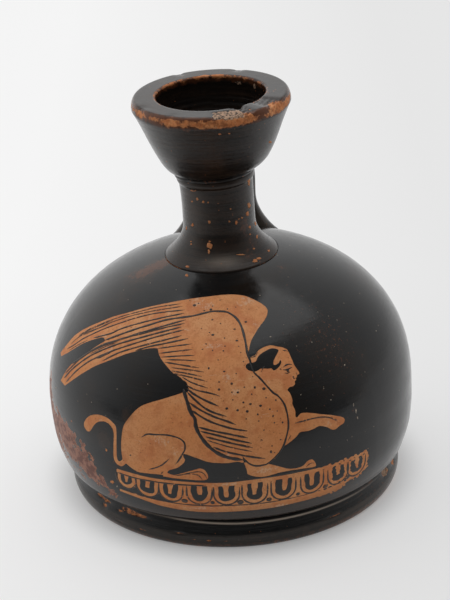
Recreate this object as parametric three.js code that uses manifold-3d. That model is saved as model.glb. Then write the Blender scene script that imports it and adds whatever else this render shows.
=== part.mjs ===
// Squat lekythos in red-figure ware: a small oil jar of fired clay with black gloss.
// Four members thrown on the wheel (foot, body, neck, mouth) and one pulled strap handle are luted
// together with clay slip. The pot leans a little to -X, as the hand-joined original does: the foot
// stands level and its seat slopes.
// Millimetres, +Z up. The foot stands on z = 0 with its axis on x = y = 0, and the handle is at +Y.
import * as THREE from 'three';
import { mergeVertices } from 'three/addons/utils/BufferGeometryUtils.js';
import Module from 'manifold-3d';

const wasm = await Module();
wasm.setup();

// Driving dimensions of the luted joints
const SLIP_THICKNESS = 0.4;
const SLIP_GAP = 0.3;
const JOINT_DEPTH = SLIP_GAP + SLIP_THICKNESS + SLIP_GAP;

// Driving dimensions of the foot, a low rounded ring
const FOOT_HEIGHT = 6.5;
const FOOT_RADIUS = 35.1;
const FOOT_WIDEST_HEIGHT = 2.2;
const FOOT_TOP_INSET = 2.2;
const FOOT_STAND_INSET = 1.0;
const FOOT_STAND_WIDTH = 3.4;
const FOOT_BORE_INSET = 10.6;
const FOOT_TOP_RADIUS = FOOT_RADIUS - FOOT_TOP_INSET;
const FOOT_STAND_RADIUS = FOOT_RADIUS - FOOT_STAND_INSET;
const FOOT_BORE_RADIUS = FOOT_RADIUS - FOOT_BORE_INSET;
const FOOT_LEDGE_THICKNESS = 2.6;
const FOOT_HOLLOW_SLOPE = 2.4;
const FOOT_GROOVE_DEPTH = 1.1;

// Driving dimensions of the body, a low bulging form with a domed shoulder
const LEAN_DEGREES = 1.15;
const BELLY_RADIUS = 38.4;
const BELLY_HEIGHT = 13.0;
const BASE_NARROWING = 2.2;
const BASE_CURVE_POWER = 2.9;
const DOME_HEIGHT = 31.1;
const DOME_SIDE_POWER = 2.04;
const DOME_TOP_POWER = 2.44;
const BODY_WALL = 3.2;
const SHOULDER_WALL = 4.4;
const FLOOR_THICKNESS = 5.4;
const FLOOR_CORNER_WIDTH = 9.0;
const FLOOR_CORNER_HEIGHT = 6.0;

// Driving dimensions of the neck, with the collar that stands in the shoulder's socket
const COLLAR_RADIUS = 11.6;
const COLLAR_EDGE_HEIGHT = 0.7;
const COLLAR_SET_IN = 0.3;
const SOCKET_DEPTH = 1.2;
const FLARE_INSET = 0.25;
const FLARE_HEIGHT = 6.6;
const NECK_RADIUS = 7.4;
const NECK_TOP_RADIUS = 7.75;
const NECK_RING_HEIGHT = 1.7;
const NECK_RING_PROUD = 0.3;
const NECK_HEIGHT = 18.4;
const NECK_BORE_RADIUS = 4.7;
const NECK_SPIGOT_WALL = 1.7;
const NECK_SPIGOT_LENGTH = 2.6;

// Driving dimensions of the mouth, a deep cup with a broad flat lip
const MOUTH_BASE_RADIUS = 8.2;
const MOUTH_HEIGHT = 15.1;
const MOUTH_SWELL_RADIUS = 12.0;
const MOUTH_SWELL_HEIGHT = 0.8;
const MOUTH_WAIST_RADIUS = 13.0;
const MOUTH_WAIST_HEIGHT = 7.0;
const LIP_RADIUS = 16.0;
const LIP_EDGE_HEIGHT = 2.1;
const LIP_ROUNDING = 0.9;
const MOUTH_HOLE_RADIUS = 11.0;
const CUP_BULGE_RADIUS = 12.2;
const CUP_BULGE_DEPTH = 5.1;
const CUP_FLOOR_RADIUS = 10.0;
const CUP_FLOOR_RISE = 0.8;
const CUP_BOTTOM_HEIGHT = 2.0;
const MOUTH_SPIGOT_WALL = 1.1;
const MOUTH_SPIGOT_LENGTH = 2.4;
const SPIGOT_END_GAP = 0.4;
const MOUTH_SLIP_PROUD = 0.25;

// Driving dimensions of the strap handle, in radius from the pot's axis and height on the neck
const HANDLE_TURN_DEGREES = 2.6;
const HANDLE_ROOT_BELOW_NECK_TOP = 4.8;
const HANDLE_RISE = 1.6;
const HANDLE_BEND_RADIUS = 15.9;
const HANDLE_BEND_DROP = 0.8;
const HANDLE_SIDE_RADIUS = 18.0;
const HANDLE_FOOT_RADIUS = 20.8;
const HANDLE_ROOT_WIDTH = 13.2;
const HANDLE_WIDTH = 14.6;
const HANDLE_FOOT_WIDTH = 19.3;
const HANDLE_FLARE_FRACTION = 0.6;
const HANDLE_FLARE_POWER = 2.5;
const HANDLE_THICKNESS = 4.2;
const HANDLE_ROOT_THICKENING = 0.7;
const HANDLE_EDGE_POWER = 2.6;
const HANDLE_SLIP_FILLET = 1.0;

// Facets
const BODY_SEGMENTS = 60;
const FOOT_SEGMENTS = 60;
const NECK_SEGMENTS = 44;
const MOUTH_SEGMENTS = 52;
const HANDLE_STEPS = 22;
const HANDLE_SIDES = 18;

// Heights that follow from the sizes above, measured up the leaning axis from the body's underside
const BASE_HEIGHT = FOOT_HEIGHT + SLIP_THICKNESS + SLIP_GAP;
const LEAN = THREE.MathUtils.degToRad(LEAN_DEGREES);
const SOCKET_RADIUS = COLLAR_RADIUS + SLIP_GAP;
const SHOULDER_HEIGHT = domeHeight(SOCKET_RADIUS, 0);
const SEAT_HEIGHT = SHOULDER_HEIGHT - SOCKET_DEPTH;
const NECK_BASE = SEAT_HEIGHT + JOINT_DEPTH;
const NECK_TOP = NECK_BASE + NECK_HEIGHT;
const NECK_SPIGOT_RADIUS = NECK_BORE_RADIUS + NECK_SPIGOT_WALL;
const BODY_HOLE_RADIUS = NECK_SPIGOT_RADIUS + SLIP_GAP;
const MOUTH_BASE = NECK_TOP + JOINT_DEPTH;
const MOUTH_SPIGOT_RADIUS = NECK_BORE_RADIUS + MOUTH_SPIGOT_WALL;
const NECK_SOCKET_RADIUS = MOUTH_SPIGOT_RADIUS + SLIP_GAP;
const NECK_SOCKET_FLOOR = MOUTH_BASE - MOUTH_SPIGOT_LENGTH - SPIGOT_END_GAP;

// Finishes
const blackGloss = new THREE.MeshStandardMaterial({ color: 0x1b1817, roughness: 0.36, metalness: 0 });
const redClay = new THREE.MeshStandardMaterial({ color: 0xb5703f, roughness: 0.75, metalness: 0 });

// Height of the domed shoulder where its radius is r, for a surface grown outwards by offset
function domeHeight(r, offset) {
  const share = r / (BELLY_RADIUS + offset);
  return BELLY_HEIGHT + (DOME_HEIGHT + offset) * (1 - share ** DOME_SIDE_POWER) ** (1 / DOME_TOP_POWER);
}

// Points of the shoulder from the belly up to radius endRadius, bunched towards the top
function domePoints(endRadius, radius, height, count) {
  const points = [];
  const endTurn = Math.acos(endRadius / radius);
  for (let i = 0; i <= count; i += 1) {
    const r = radius * Math.cos((endTurn * i) / count);
    const rise = height * Math.max(0, 1 - (r / radius) ** DOME_SIDE_POWER) ** (1 / DOME_TOP_POWER);
    points.push(new THREE.Vector2(r, BELLY_HEIGHT + rise));
  }
  return points;
}

// Radius of the outer wall below the belly
function lowerRadius(z) {
  return BELLY_RADIUS - BASE_NARROWING * ((BELLY_HEIGHT - z) / BELLY_HEIGHT) ** BASE_CURVE_POWER;
}

// Quarter ellipse about a centre, from one angle to the next, in degrees
function arcPoints(centreR, centreZ, spanR, spanZ, fromDegrees, toDegrees, count) {
  const points = [];
  for (let i = 0; i <= count; i += 1) {
    const angle = THREE.MathUtils.degToRad(fromDegrees + ((toDegrees - fromDegrees) * i) / count);
    points.push(new THREE.Vector2(centreR + spanR * Math.cos(angle), centreZ + spanZ * Math.sin(angle)));
  }
  return points;
}

const at = (r, z) => new THREE.Vector2(r, z);

// Turned solid from a profile of radius and height that closes on itself or on the axis, axis on Z
function turned(profile, segments) {
  const closed = profile[0].x > 0 ? [...profile, profile[0].clone()] : profile;
  return new THREE.LatheGeometry(closed, segments).rotateX(Math.PI / 2);
}

// Boolean solid from a closed geometry
function solidOf(geometry) {
  const bare = geometry.clone();
  bare.deleteAttribute('normal');
  bare.deleteAttribute('uv');
  const merged = mergeVertices(bare, 1e-4);
  const kept = [];
  const index = merged.index.array;
  for (let i = 0; i < index.length; i += 3) {
    const [a, b, c] = [index[i], index[i + 1], index[i + 2]];
    if (a !== b && b !== c && c !== a) kept.push(a, b, c);
  }
  const build = (triVerts) => new wasm.Manifold(new wasm.Mesh({
    numProp: 3,
    vertProperties: new Float32Array(merged.attributes.position.array),
    triVerts: new Uint32Array(triVerts),
  }));
  const solid = build(kept);
  if (solid.volume() > 0) return solid;
  const flipped = [];
  for (let i = 0; i < kept.length; i += 3) flipped.push(kept[i], kept[i + 2], kept[i + 1]);
  return build(flipped);
}

// Geometry of a boolean solid
function geometryOf(solid) {
  const mesh = solid.getMesh();
  const geometry = new THREE.BufferGeometry();
  geometry.setAttribute('position', new THREE.BufferAttribute(new Float32Array(mesh.vertProperties), 3));
  geometry.setIndex(new THREE.BufferAttribute(new Uint32Array(mesh.triVerts), 1));
  geometry.computeVertexNormals();
  return geometry;
}

function named(name, solid, material) {
  const mesh = new THREE.Mesh(geometryOf(solid), material);
  mesh.name = name;
  return mesh;
}

// Geometry sloped across X so that its underside stays level and a seat at the foot's top leans as the pot
function sloped(geometry) {
  const position = geometry.attributes.position;
  for (let i = 0; i < position.count; i += 1) {
    const share = Math.min(1, position.getZ(i) / FOOT_HEIGHT);
    position.setZ(i, position.getZ(i) + position.getX(i) * Math.tan(LEAN) * share);
  }
  return geometry;
}

// Foot: rounded ring moulding, sloping flat seat on top, hollow underside with a level standing ring
function footRing() {
  const standInner = FOOT_STAND_RADIUS - FOOT_STAND_WIDTH;
  const upperSpan = FOOT_HEIGHT - FOOT_WIDEST_HEIGHT;
  const hollowHeight = FOOT_HEIGHT - FOOT_LEDGE_THICKNESS;
  const upper = arcPoints(FOOT_TOP_RADIUS, FOOT_WIDEST_HEIGHT, FOOT_RADIUS - FOOT_TOP_RADIUS, upperSpan, 90, 0, 5);
  const lowerSpan = FOOT_RADIUS - FOOT_STAND_RADIUS;
  const lower = arcPoints(FOOT_STAND_RADIUS, FOOT_WIDEST_HEIGHT, lowerSpan, FOOT_WIDEST_HEIGHT, 0, -90, 6);
  const profile = [
    at(FOOT_BORE_RADIUS, FOOT_HEIGHT),
    ...upper,
    ...lower.slice(1),
    at(standInner, 0),
    at(standInner - FOOT_HOLLOW_SLOPE, hollowHeight),
    at(FOOT_BORE_RADIUS, hollowHeight),
  ];
  return solidOf(sloped(turned(profile, FOOT_SEGMENTS)));
}

// Slip between foot and body, set back so that a fine groove runs round the joint
function footSlip() {
  const outer = FOOT_TOP_RADIUS - FOOT_GROOVE_DEPTH;
  const inner = FOOT_BORE_RADIUS + FOOT_GROOVE_DEPTH;
  const top = FOOT_HEIGHT + SLIP_THICKNESS;
  const profile = [at(inner, FOOT_HEIGHT), at(outer, FOOT_HEIGHT), at(outer, top), at(inner, top)];
  return solidOf(sloped(turned(profile, FOOT_SEGMENTS)));
}

// Outside of the pot's body from the axis under its floor up to radius endRadius on the shoulder
function bodyOutside(endRadius) {
  const lowerSteps = 7;
  const wall = [];
  for (let i = 0; i < lowerSteps; i += 1) {
    const z = (BELLY_HEIGHT * i) / lowerSteps;
    wall.push(at(lowerRadius(z), z));
  }
  return [at(0, 0), ...wall, ...domePoints(endRadius, BELLY_RADIUS, DOME_HEIGHT, 13)];
}

// Body: hollow, with a flat underside for the foot and a socket for the collar on top
function body() {
  const innerBelly = BELLY_RADIUS - BODY_WALL;
  const innerDome = DOME_HEIGHT - SHOULDER_WALL;
  const inside = domePoints(BODY_HOLE_RADIUS, innerBelly, innerDome, 10).reverse();
  const cornerTop = FLOOR_THICKNESS + FLOOR_CORNER_HEIGHT;
  const cornerMiddle = innerBelly - FLOOR_CORNER_WIDTH;
  const corner = arcPoints(cornerMiddle, cornerTop, FLOOR_CORNER_WIDTH, FLOOR_CORNER_HEIGHT, 0, -90, 5);
  const profile = [
    ...bodyOutside(SOCKET_RADIUS),
    at(SOCKET_RADIUS, SEAT_HEIGHT),
    at(BODY_HOLE_RADIUS, SEAT_HEIGHT),
    ...inside,
    ...corner,
    at(0, FLOOR_THICKNESS),
  ];
  return solidOf(turned(profile, BODY_SEGMENTS));
}

// Slip under the collar
function neckSlip() {
  const bottom = SEAT_HEIGHT + SLIP_GAP;
  const top = bottom + SLIP_THICKNESS;
  const inner = NECK_SPIGOT_RADIUS + SLIP_GAP;
  const outer = COLLAR_RADIUS - COLLAR_SET_IN;
  const profile = [at(inner, bottom), at(outer, bottom), at(outer, top), at(inner, top)];
  return solidOf(turned(profile, NECK_SEGMENTS));
}

// Outside of the neck: collar edge, hollow flare, shaft and a low ring at the top, grown by offset
function neckOutside(offset) {
  const edgeTop = NECK_BASE + COLLAR_EDGE_HEIGHT;
  const flareTop = edgeTop + FLARE_HEIGHT;
  const flare = new THREE.QuadraticBezierCurve(
    at(COLLAR_RADIUS - FLARE_INSET + offset, edgeTop),
    at(NECK_RADIUS + offset, edgeTop + FLARE_HEIGHT / 2),
    at(NECK_RADIUS + offset, flareTop),
  );
  return [
    at(COLLAR_RADIUS + offset, NECK_BASE),
    at(COLLAR_RADIUS + offset, edgeTop - COLLAR_EDGE_HEIGHT / 3),
    ...flare.getPoints(7),
    at(NECK_TOP_RADIUS - NECK_RING_PROUD + offset, NECK_TOP - NECK_RING_HEIGHT),
    at(NECK_TOP_RADIUS + offset, NECK_TOP - 0.7 * NECK_RING_HEIGHT),
    at(NECK_TOP_RADIUS + offset, NECK_TOP),
  ];
}

// Neck: bored through, a spigot below that enters the body and a socket above for the mouth's spigot
function neck() {
  const profile = [
    at(NECK_BORE_RADIUS, NECK_BASE - NECK_SPIGOT_LENGTH),
    at(NECK_SPIGOT_RADIUS, NECK_BASE - NECK_SPIGOT_LENGTH),
    at(NECK_SPIGOT_RADIUS, NECK_BASE),
    ...neckOutside(0),
    at(NECK_SOCKET_RADIUS, NECK_TOP),
    at(NECK_SOCKET_RADIUS, NECK_SOCKET_FLOOR),
    at(NECK_BORE_RADIUS, NECK_SOCKET_FLOOR),
  ];
  return solidOf(turned(profile, NECK_SEGMENTS));
}

// Slip between neck and mouth, squeezed out a little as a fine ring
function mouthSlip() {
  const bottom = NECK_TOP + SLIP_GAP;
  const top = bottom + SLIP_THICKNESS;
  const inner = MOUTH_SPIGOT_RADIUS + SLIP_GAP;
  const outer = NECK_TOP_RADIUS + MOUTH_SLIP_PROUD;
  const profile = [at(inner, bottom), at(outer, bottom), at(outer, top), at(inner, top)];
  return solidOf(turned(profile, NECK_SEGMENTS));
}

// Mouth: swelling cup, rounded lip edge, broad flat lip, funnel inside and a spigot below
function mouth() {
  const top = MOUTH_BASE + MOUTH_HEIGHT;
  const lipBottom = top - LIP_EDGE_HEIGHT;
  const cupBottom = MOUTH_BASE + CUP_BOTTOM_HEIGHT;
  const outside = new THREE.CubicBezierCurve(
    at(MOUTH_BASE_RADIUS, MOUTH_BASE),
    at(MOUTH_SWELL_RADIUS, MOUTH_BASE + MOUTH_SWELL_HEIGHT),
    at(MOUTH_WAIST_RADIUS, MOUTH_BASE + MOUTH_WAIST_HEIGHT),
    at(LIP_RADIUS, lipBottom),
  );
  const inside = new THREE.CubicBezierCurve(
    at(MOUTH_HOLE_RADIUS, top),
    at(CUP_BULGE_RADIUS, top - CUP_BULGE_DEPTH),
    at(CUP_FLOOR_RADIUS, cupBottom + CUP_FLOOR_RISE),
    at(NECK_BORE_RADIUS, cupBottom),
  );
  const edge = arcPoints(LIP_RADIUS - LIP_ROUNDING, lipBottom, LIP_ROUNDING, LIP_EDGE_HEIGHT, 0, 90, 4);
  const profile = [
    at(NECK_BORE_RADIUS, MOUTH_BASE - MOUTH_SPIGOT_LENGTH),
    at(MOUTH_SPIGOT_RADIUS, MOUTH_BASE - MOUTH_SPIGOT_LENGTH),
    at(MOUTH_SPIGOT_RADIUS, MOUTH_BASE),
    ...outside.getPoints(10),
    ...edge.slice(1),
    ...inside.getPoints(9),
  ];
  return solidOf(turned(profile, MOUTH_SEGMENTS));
}

// Middle line of the strap handle, from inside the neck's wall out, down and into the shoulder
function handleLine() {
  const rootHeight = NECK_TOP - HANDLE_ROOT_BELOW_NECK_TOP;
  const footHeight = domeHeight(HANDLE_FOOT_RADIUS, 0);
  const bendHeight = rootHeight - HANDLE_BEND_DROP;
  const crownRadius = (NECK_RADIUS + HANDLE_BEND_RADIUS) / 2;
  const stations = [
    [NECK_BORE_RADIUS + SLIP_GAP, rootHeight - HANDLE_RISE],
    [crownRadius, rootHeight + HANDLE_RISE / 2],
    [HANDLE_BEND_RADIUS, bendHeight],
    [HANDLE_SIDE_RADIUS, (bendHeight + footHeight) / 2],
    [HANDLE_FOOT_RADIUS, footHeight],
    [HANDLE_FOOT_RADIUS + BODY_WALL / 4, footHeight - BODY_WALL],
  ];
  return new THREE.CatmullRomCurve3(stations.map(([r, z]) => new THREE.Vector3(0, r, z)));
}

// Width of the strap along its length: gathered at the neck, broad on the shoulder
function handleWidth(along) {
  const root = (HANDLE_ROOT_WIDTH - HANDLE_WIDTH) * Math.max(0, 1 - along / 0.3) ** 2;
  const flare = Math.max(0, (along - HANDLE_FLARE_FRACTION) / 0.3) ** HANDLE_FLARE_POWER;
  const foot = (HANDLE_FOOT_WIDTH - HANDLE_WIDTH) * flare;
  return HANDLE_WIDTH + root + foot;
}

// Strap handle as a loft of rounded flat sections along its middle line, grown by offset
function handleLoft(offset) {
  const line = handleLine();
  const across = new THREE.Vector3(1, 0, 0);
  const positions = [];
  for (let step = 0; step <= HANDLE_STEPS; step += 1) {
    const along = step / HANDLE_STEPS;
    const centre = line.getPointAt(along);
    const out = line.getTangentAt(along).cross(across).normalize();
    const halfWidth = handleWidth(along) / 2 + offset;
    const thickening = HANDLE_ROOT_THICKENING * (2 * along - 1) ** 4;
    const halfThickness = HANDLE_THICKNESS / 2 + thickening + offset;
    for (let side = 0; side < HANDLE_SIDES; side += 1) {
      const turn = (2 * Math.PI * side) / HANDLE_SIDES;
      const [c, s] = [Math.cos(turn), Math.sin(turn)];
      const x = halfWidth * Math.sign(c) * Math.abs(c) ** (2 / HANDLE_EDGE_POWER);
      const y = halfThickness * Math.sign(s) * Math.abs(s) ** (2 / HANDLE_EDGE_POWER);
      const point = centre.clone().addScaledVector(across, x).addScaledVector(out, y);
      positions.push(point.x, point.y, point.z);
    }
  }
  const index = [];
  const vertex = (step, side) => step * HANDLE_SIDES + (side % HANDLE_SIDES);
  for (let step = 0; step < HANDLE_STEPS; step += 1) {
    for (let side = 0; side < HANDLE_SIDES; side += 1) {
      const [a, b] = [vertex(step, side), vertex(step, side + 1)];
      const [c, d] = [vertex(step + 1, side), vertex(step + 1, side + 1)];
      index.push(a, b, d, a, d, c);
    }
  }
  for (let side = 1; side < HANDLE_SIDES - 1; side += 1) {
    index.push(vertex(0, 0), vertex(0, side + 1), vertex(0, side));
    index.push(vertex(HANDLE_STEPS, 0), vertex(HANDLE_STEPS, side), vertex(HANDLE_STEPS, side + 1));
  }
  const geometry = new THREE.BufferGeometry();
  geometry.setAttribute('position', new THREE.Float32BufferAttribute(positions, 3));
  geometry.setIndex(index);
  const turn = -THREE.MathUtils.degToRad(HANDLE_TURN_DEGREES);
  return solidOf(geometry.rotateZ(turn));
}

// Solid neck and solid shoulder, grown by offset, that the handle's two ends are shaped against
function neckMass(offset) {
  const profile = [at(0, NECK_BASE), ...neckOutside(offset), at(0, NECK_TOP)];
  return solidOf(turned(profile, NECK_SEGMENTS));
}

function shoulderMass(offset) {
  const dome = domePoints(0, BELLY_RADIUS + offset, DOME_HEIGHT + offset, 20);
  return solidOf(turned([at(0, BELLY_HEIGHT), ...dome], BODY_SEGMENTS));
}

function handle() {
  return handleLoft(0).subtract(neckMass(JOINT_DEPTH)).subtract(shoulderMass(JOINT_DEPTH));
}

// Slip pads that hold the handle's ends, spread a little past the strap
function handlePad(mass) {
  const shell = mass(SLIP_GAP + SLIP_THICKNESS).subtract(mass(SLIP_GAP));
  return handleLoft(HANDLE_SLIP_FILLET).intersect(shell);
}

// The pot as it stands: the foot level, everything above its sloping seat leaning as one
const leaning = new THREE.Group();
leaning.position.z = BASE_HEIGHT;
leaning.rotation.y = -LEAN;
leaning.add(
  named('body', body(), blackGloss),
  named('neck_joint_slip', neckSlip(), redClay),
  named('neck', neck(), blackGloss),
  named('mouth_joint_slip', mouthSlip(), redClay),
  named('mouth', mouth(), blackGloss),
  named('handle', handle(), blackGloss),
  named('handle_upper_joint_slip', handlePad(neckMass), redClay),
  named('handle_lower_joint_slip', handlePad(shoulderMass), redClay),
);

const lekythos = new THREE.Group();
lekythos.add(
  named('foot_ring', footRing(), blackGloss),
  named('foot_joint_slip', footSlip(), redClay),
  leaning,
);

export default lekythos;
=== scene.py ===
import math

import bpy
import numpy as np
from mathutils import Matrix


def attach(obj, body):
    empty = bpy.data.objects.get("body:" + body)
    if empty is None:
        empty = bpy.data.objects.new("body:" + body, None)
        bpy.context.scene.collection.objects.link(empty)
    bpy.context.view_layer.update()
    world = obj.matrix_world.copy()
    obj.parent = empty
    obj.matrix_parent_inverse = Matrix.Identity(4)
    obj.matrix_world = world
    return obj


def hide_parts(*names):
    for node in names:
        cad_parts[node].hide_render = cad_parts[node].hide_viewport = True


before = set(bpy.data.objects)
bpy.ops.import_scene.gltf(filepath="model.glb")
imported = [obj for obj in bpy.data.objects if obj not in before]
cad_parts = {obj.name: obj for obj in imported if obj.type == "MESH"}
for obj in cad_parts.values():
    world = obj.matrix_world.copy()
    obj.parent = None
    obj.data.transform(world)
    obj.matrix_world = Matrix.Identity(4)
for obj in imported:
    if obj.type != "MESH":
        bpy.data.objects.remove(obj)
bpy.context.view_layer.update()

# Looks of a small red-figure squat lekythos: worn black gloss, a painted sphinx and a band of eggs.
# Lengths are millimetres in the pot's own leaning frame unless a name says otherwise, and the front
# of the pot is at turn 0, on the -Y side. Meshes are stored in metres in the shared frame.
MM = 0.001
RANDOM_SEED = 11
rng = np.random.default_rng(RANDOM_SEED)

# The pot's sizes, as in the part
FOOT_HEIGHT, FOOT_RADIUS, FOOT_WIDEST_HEIGHT = 6.5, 35.1, 2.2
FOOT_TOP_RADIUS, FOOT_STAND_RADIUS, FOOT_STAND_WIDTH, FOOT_BORE_RADIUS = 32.9, 34.1, 3.4, 24.5
BASE_HEIGHT, LEAN = 7.2, math.radians(1.15)
BELLY_RADIUS, BELLY_HEIGHT, BASE_NARROWING, BASE_POWER = 38.4, 13.0, 2.2, 2.9
DOME_HEIGHT, DOME_SIDE_POWER, DOME_TOP_POWER = 31.1, 2.04, 2.44
BODY_WALL, SHOULDER_WALL, FLOOR_THICKNESS, FLOOR_CORNER = 3.2, 4.4, 5.4, 6.0
COLLAR_RADIUS, NECK_RADIUS, NECK_TOP_RADIUS, NECK_BORE_RADIUS = 11.6, 7.4, 7.75, 4.7
SHOULDER_HEIGHT, NECK_BASE, NECK_TOP, MOUTH_BASE, POT_TOP = 42.9, 42.7, 61.1, 62.1, 77.2
LIP_RADIUS, LIP_EDGE_HEIGHT, LIP_ROUNDING, HOLE_RADIUS = 16.0, 2.1, 0.9, 11.0

# Where the photo departs a little from the part: the slope of the joint over the foot in the leaning
# frame, the tuck of the body's lower edge, a shoulder that is flatter by up to 0.4 mm, and the spread
# and the dip of the joint under the cup towards the left
SEAT_SLOPE, BASE_TUCK, EDGE_TUCK = math.tan(math.radians(0.9)), 0.2, 0.45
SEEN_SIDE_POWER, SEEN_TOP_POWER = 2.15, 2.28
NECK_SPREAD, NECK_SPREAD_LENGTH, JOINT_DIP = 0.5, 8.0, 0.55

# The photo's camera, fitted to the pot's rims: pixels of a 450 by 600 frame and millimetres. The rims give
# its place about the pot, and the foot's lower edge gives the tilt of the floor, CAMERA_SWAY.
PHOTO_WIDTH, PHOTO_HEIGHT, FOCAL_PX = 450, 600, 1874.0
CAMERA_DISTANCE, CAMERA_PITCH, CAMERA_ROLL = 392.5, math.radians(24.354), math.radians(1.115)
CAMERA_SLIDE, CAMERA_LIFT, TARGET_HEIGHT, CAMERA_SWAY = 1.58, -3.13, 28.3, math.radians(1.55)
SENSOR_MM = 36.0
# How finely the sight lines are followed, how far before and beyond the pot's middle, and how often halved
SIGHT_STEP, SIGHT_BEFORE, SIGHT_BEYOND, HALVINGS = 0.4, 90, 60, 20


def swayed(x, y, z):
    """A direction or a place about the pot's base, turned about Y with the sway."""
    cosine, sine = math.cos(CAMERA_SWAY), math.sin(CAMERA_SWAY)
    return np.array([x * cosine + z * sine, y, z * cosine - x * sine])


FORWARD = swayed(0.0, math.cos(CAMERA_PITCH), -math.sin(CAMERA_PITCH))
LEVEL_RIGHT = swayed(1.0, 0.0, 0.0)
LEVEL_UP = swayed(0.0, math.sin(CAMERA_PITCH), math.cos(CAMERA_PITCH))
CAMERA_RIGHT = math.cos(CAMERA_ROLL) * LEVEL_RIGHT - math.sin(CAMERA_ROLL) * LEVEL_UP
CAMERA_UP = math.sin(CAMERA_ROLL) * LEVEL_RIGHT + math.cos(CAMERA_ROLL) * LEVEL_UP
CAMERA_PLACE = (np.array([0.0, 0.0, BASE_HEIGHT]) + swayed(0.0, 0.0, TARGET_HEIGHT)
                - CAMERA_SLIDE * CAMERA_RIGHT - CAMERA_LIFT * CAMERA_UP - CAMERA_DISTANCE * FORWARD)


def to_world(points):
    """Points of the leaning frame, in metres of the shared frame."""
    x, y, z = np.moveaxis(np.asarray(points, float), -1, 0)
    turned_x = x * math.cos(LEAN) - z * math.sin(LEAN)
    turned_z = x * math.sin(LEAN) + z * math.cos(LEAN) + BASE_HEIGHT
    return np.stack([turned_x, y, turned_z], axis=-1) * MM


def to_leaning(points, lift):
    """Points (lift 1) or directions (lift 0) of the shared frame, millimetres, in the leaning frame."""
    x, y, z = np.moveaxis(np.asarray(points, float), -1, 0)
    z = z - lift * BASE_HEIGHT
    turned_x = x * math.cos(LEAN) + z * math.sin(LEAN)
    turned_z = z * math.cos(LEAN) - x * math.sin(LEAN)
    return np.stack([turned_x, y, turned_z], axis=-1)


def bezier(points, count):
    """Points along a Bezier curve of any degree."""
    share = np.linspace(0, 1, count)[:, None, None]
    rest = np.repeat(np.asarray(points, float)[None], count, axis=0)
    while rest.shape[1] > 1:
        rest = rest[:, :-1] * (1 - share) + rest[:, 1:] * share
    return rest[:, 0]


def arc(centre, radii, first, last, count):
    """Points along an elliptic arc between two angles in degrees."""
    angle = np.radians(np.linspace(first, last, count))
    return np.stack([centre[0] + radii[0] * np.cos(angle), centre[1] + radii[1] * np.sin(angle)], axis=1)


def spaced(points, step):
    """A polyline's points again, evenly spaced by about step."""
    points = np.asarray(points, float)
    along = np.concatenate([[0], np.cumsum(np.linalg.norm(np.diff(points, axis=0), axis=1))])
    count = max(3, int(round(along[-1] / step)) + 1)
    stops = np.linspace(0, along[-1], count)
    return np.stack([np.interp(stops, along, points[:, k]) for k in range(points.shape[1])], axis=1)


def flow(points, step=1.5):
    """A smooth curve through given points (Catmull-Rom), evenly spaced."""
    points = np.asarray(points, float)
    padded = np.concatenate([[2 * points[0] - points[1]], points, [2 * points[-1] - points[-2]]])
    pieces = []
    share = np.linspace(0, 1, 9)[:-1, None]
    for a, b, c, d in zip(padded, padded[1:], padded[2:], padded[3:]):
        pieces.append(0.5 * (2 * b + (c - a) * share + (2 * a - 5 * b + 4 * c - d) * share ** 2
                             + (3 * b - a - 3 * c + d) * share ** 3))
    return spaced(np.concatenate(pieces + [points[-1:]]), step)


def round_about(count):
    """Evenly spaced angles all the way round."""
    return np.linspace(-math.pi, math.pi, count, endpoint=False)


def bump(value, centre, width):
    """A smooth bump of height 1 round a centre."""
    return np.exp(-((value - centre) / width) ** 2)


def between(turn, first, last, soft, last_soft=None):
    """1 between two turns and 0 outside them, with soft ends."""
    return 1 / (1 + np.exp(-(turn - first) / soft)) / (1 + np.exp((turn - last) / (last_soft or soft)))


def apart(turn, place):
    """How far a turn is from a place, the short way round."""
    return np.angle(np.exp(1j * (turn - place)))


def turn_of(points):
    """Turns of places about the pot's axis."""
    return np.arctan2(points[:, 0], -points[:, 1])


def dome_height(radius, belly, rise, side_power, top_power):
    """Height of a domed shoulder at a radius."""
    return BELLY_HEIGHT + rise * (1 - (radius / belly) ** side_power) ** (1 / top_power)


# Wall of the pot's body: radius, height and length along the profile
LOW_END, LOW_STEPS, DOME_STEPS = -3.0, 400, 1500
low = np.linspace(LOW_END, BELLY_HEIGHT, LOW_STEPS)
low_radius = BELLY_RADIUS - BASE_NARROWING * ((BELLY_HEIGHT - low) / BELLY_HEIGHT) ** BASE_POWER
dome_radius = BELLY_RADIUS * np.cos(np.linspace(0, math.acos(COLLAR_RADIUS / BELLY_RADIUS), DOME_STEPS))
dome = dome_height(dome_radius, BELLY_RADIUS, DOME_HEIGHT, SEEN_SIDE_POWER, SEEN_TOP_POWER)
WALL_R = np.concatenate([low_radius, dome_radius[1:]])
WALL_Z = np.concatenate([low, dome[1:]])
WALL_S = np.concatenate([[0], np.cumsum(np.hypot(np.diff(WALL_R), np.diff(WALL_Z)))])

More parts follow.
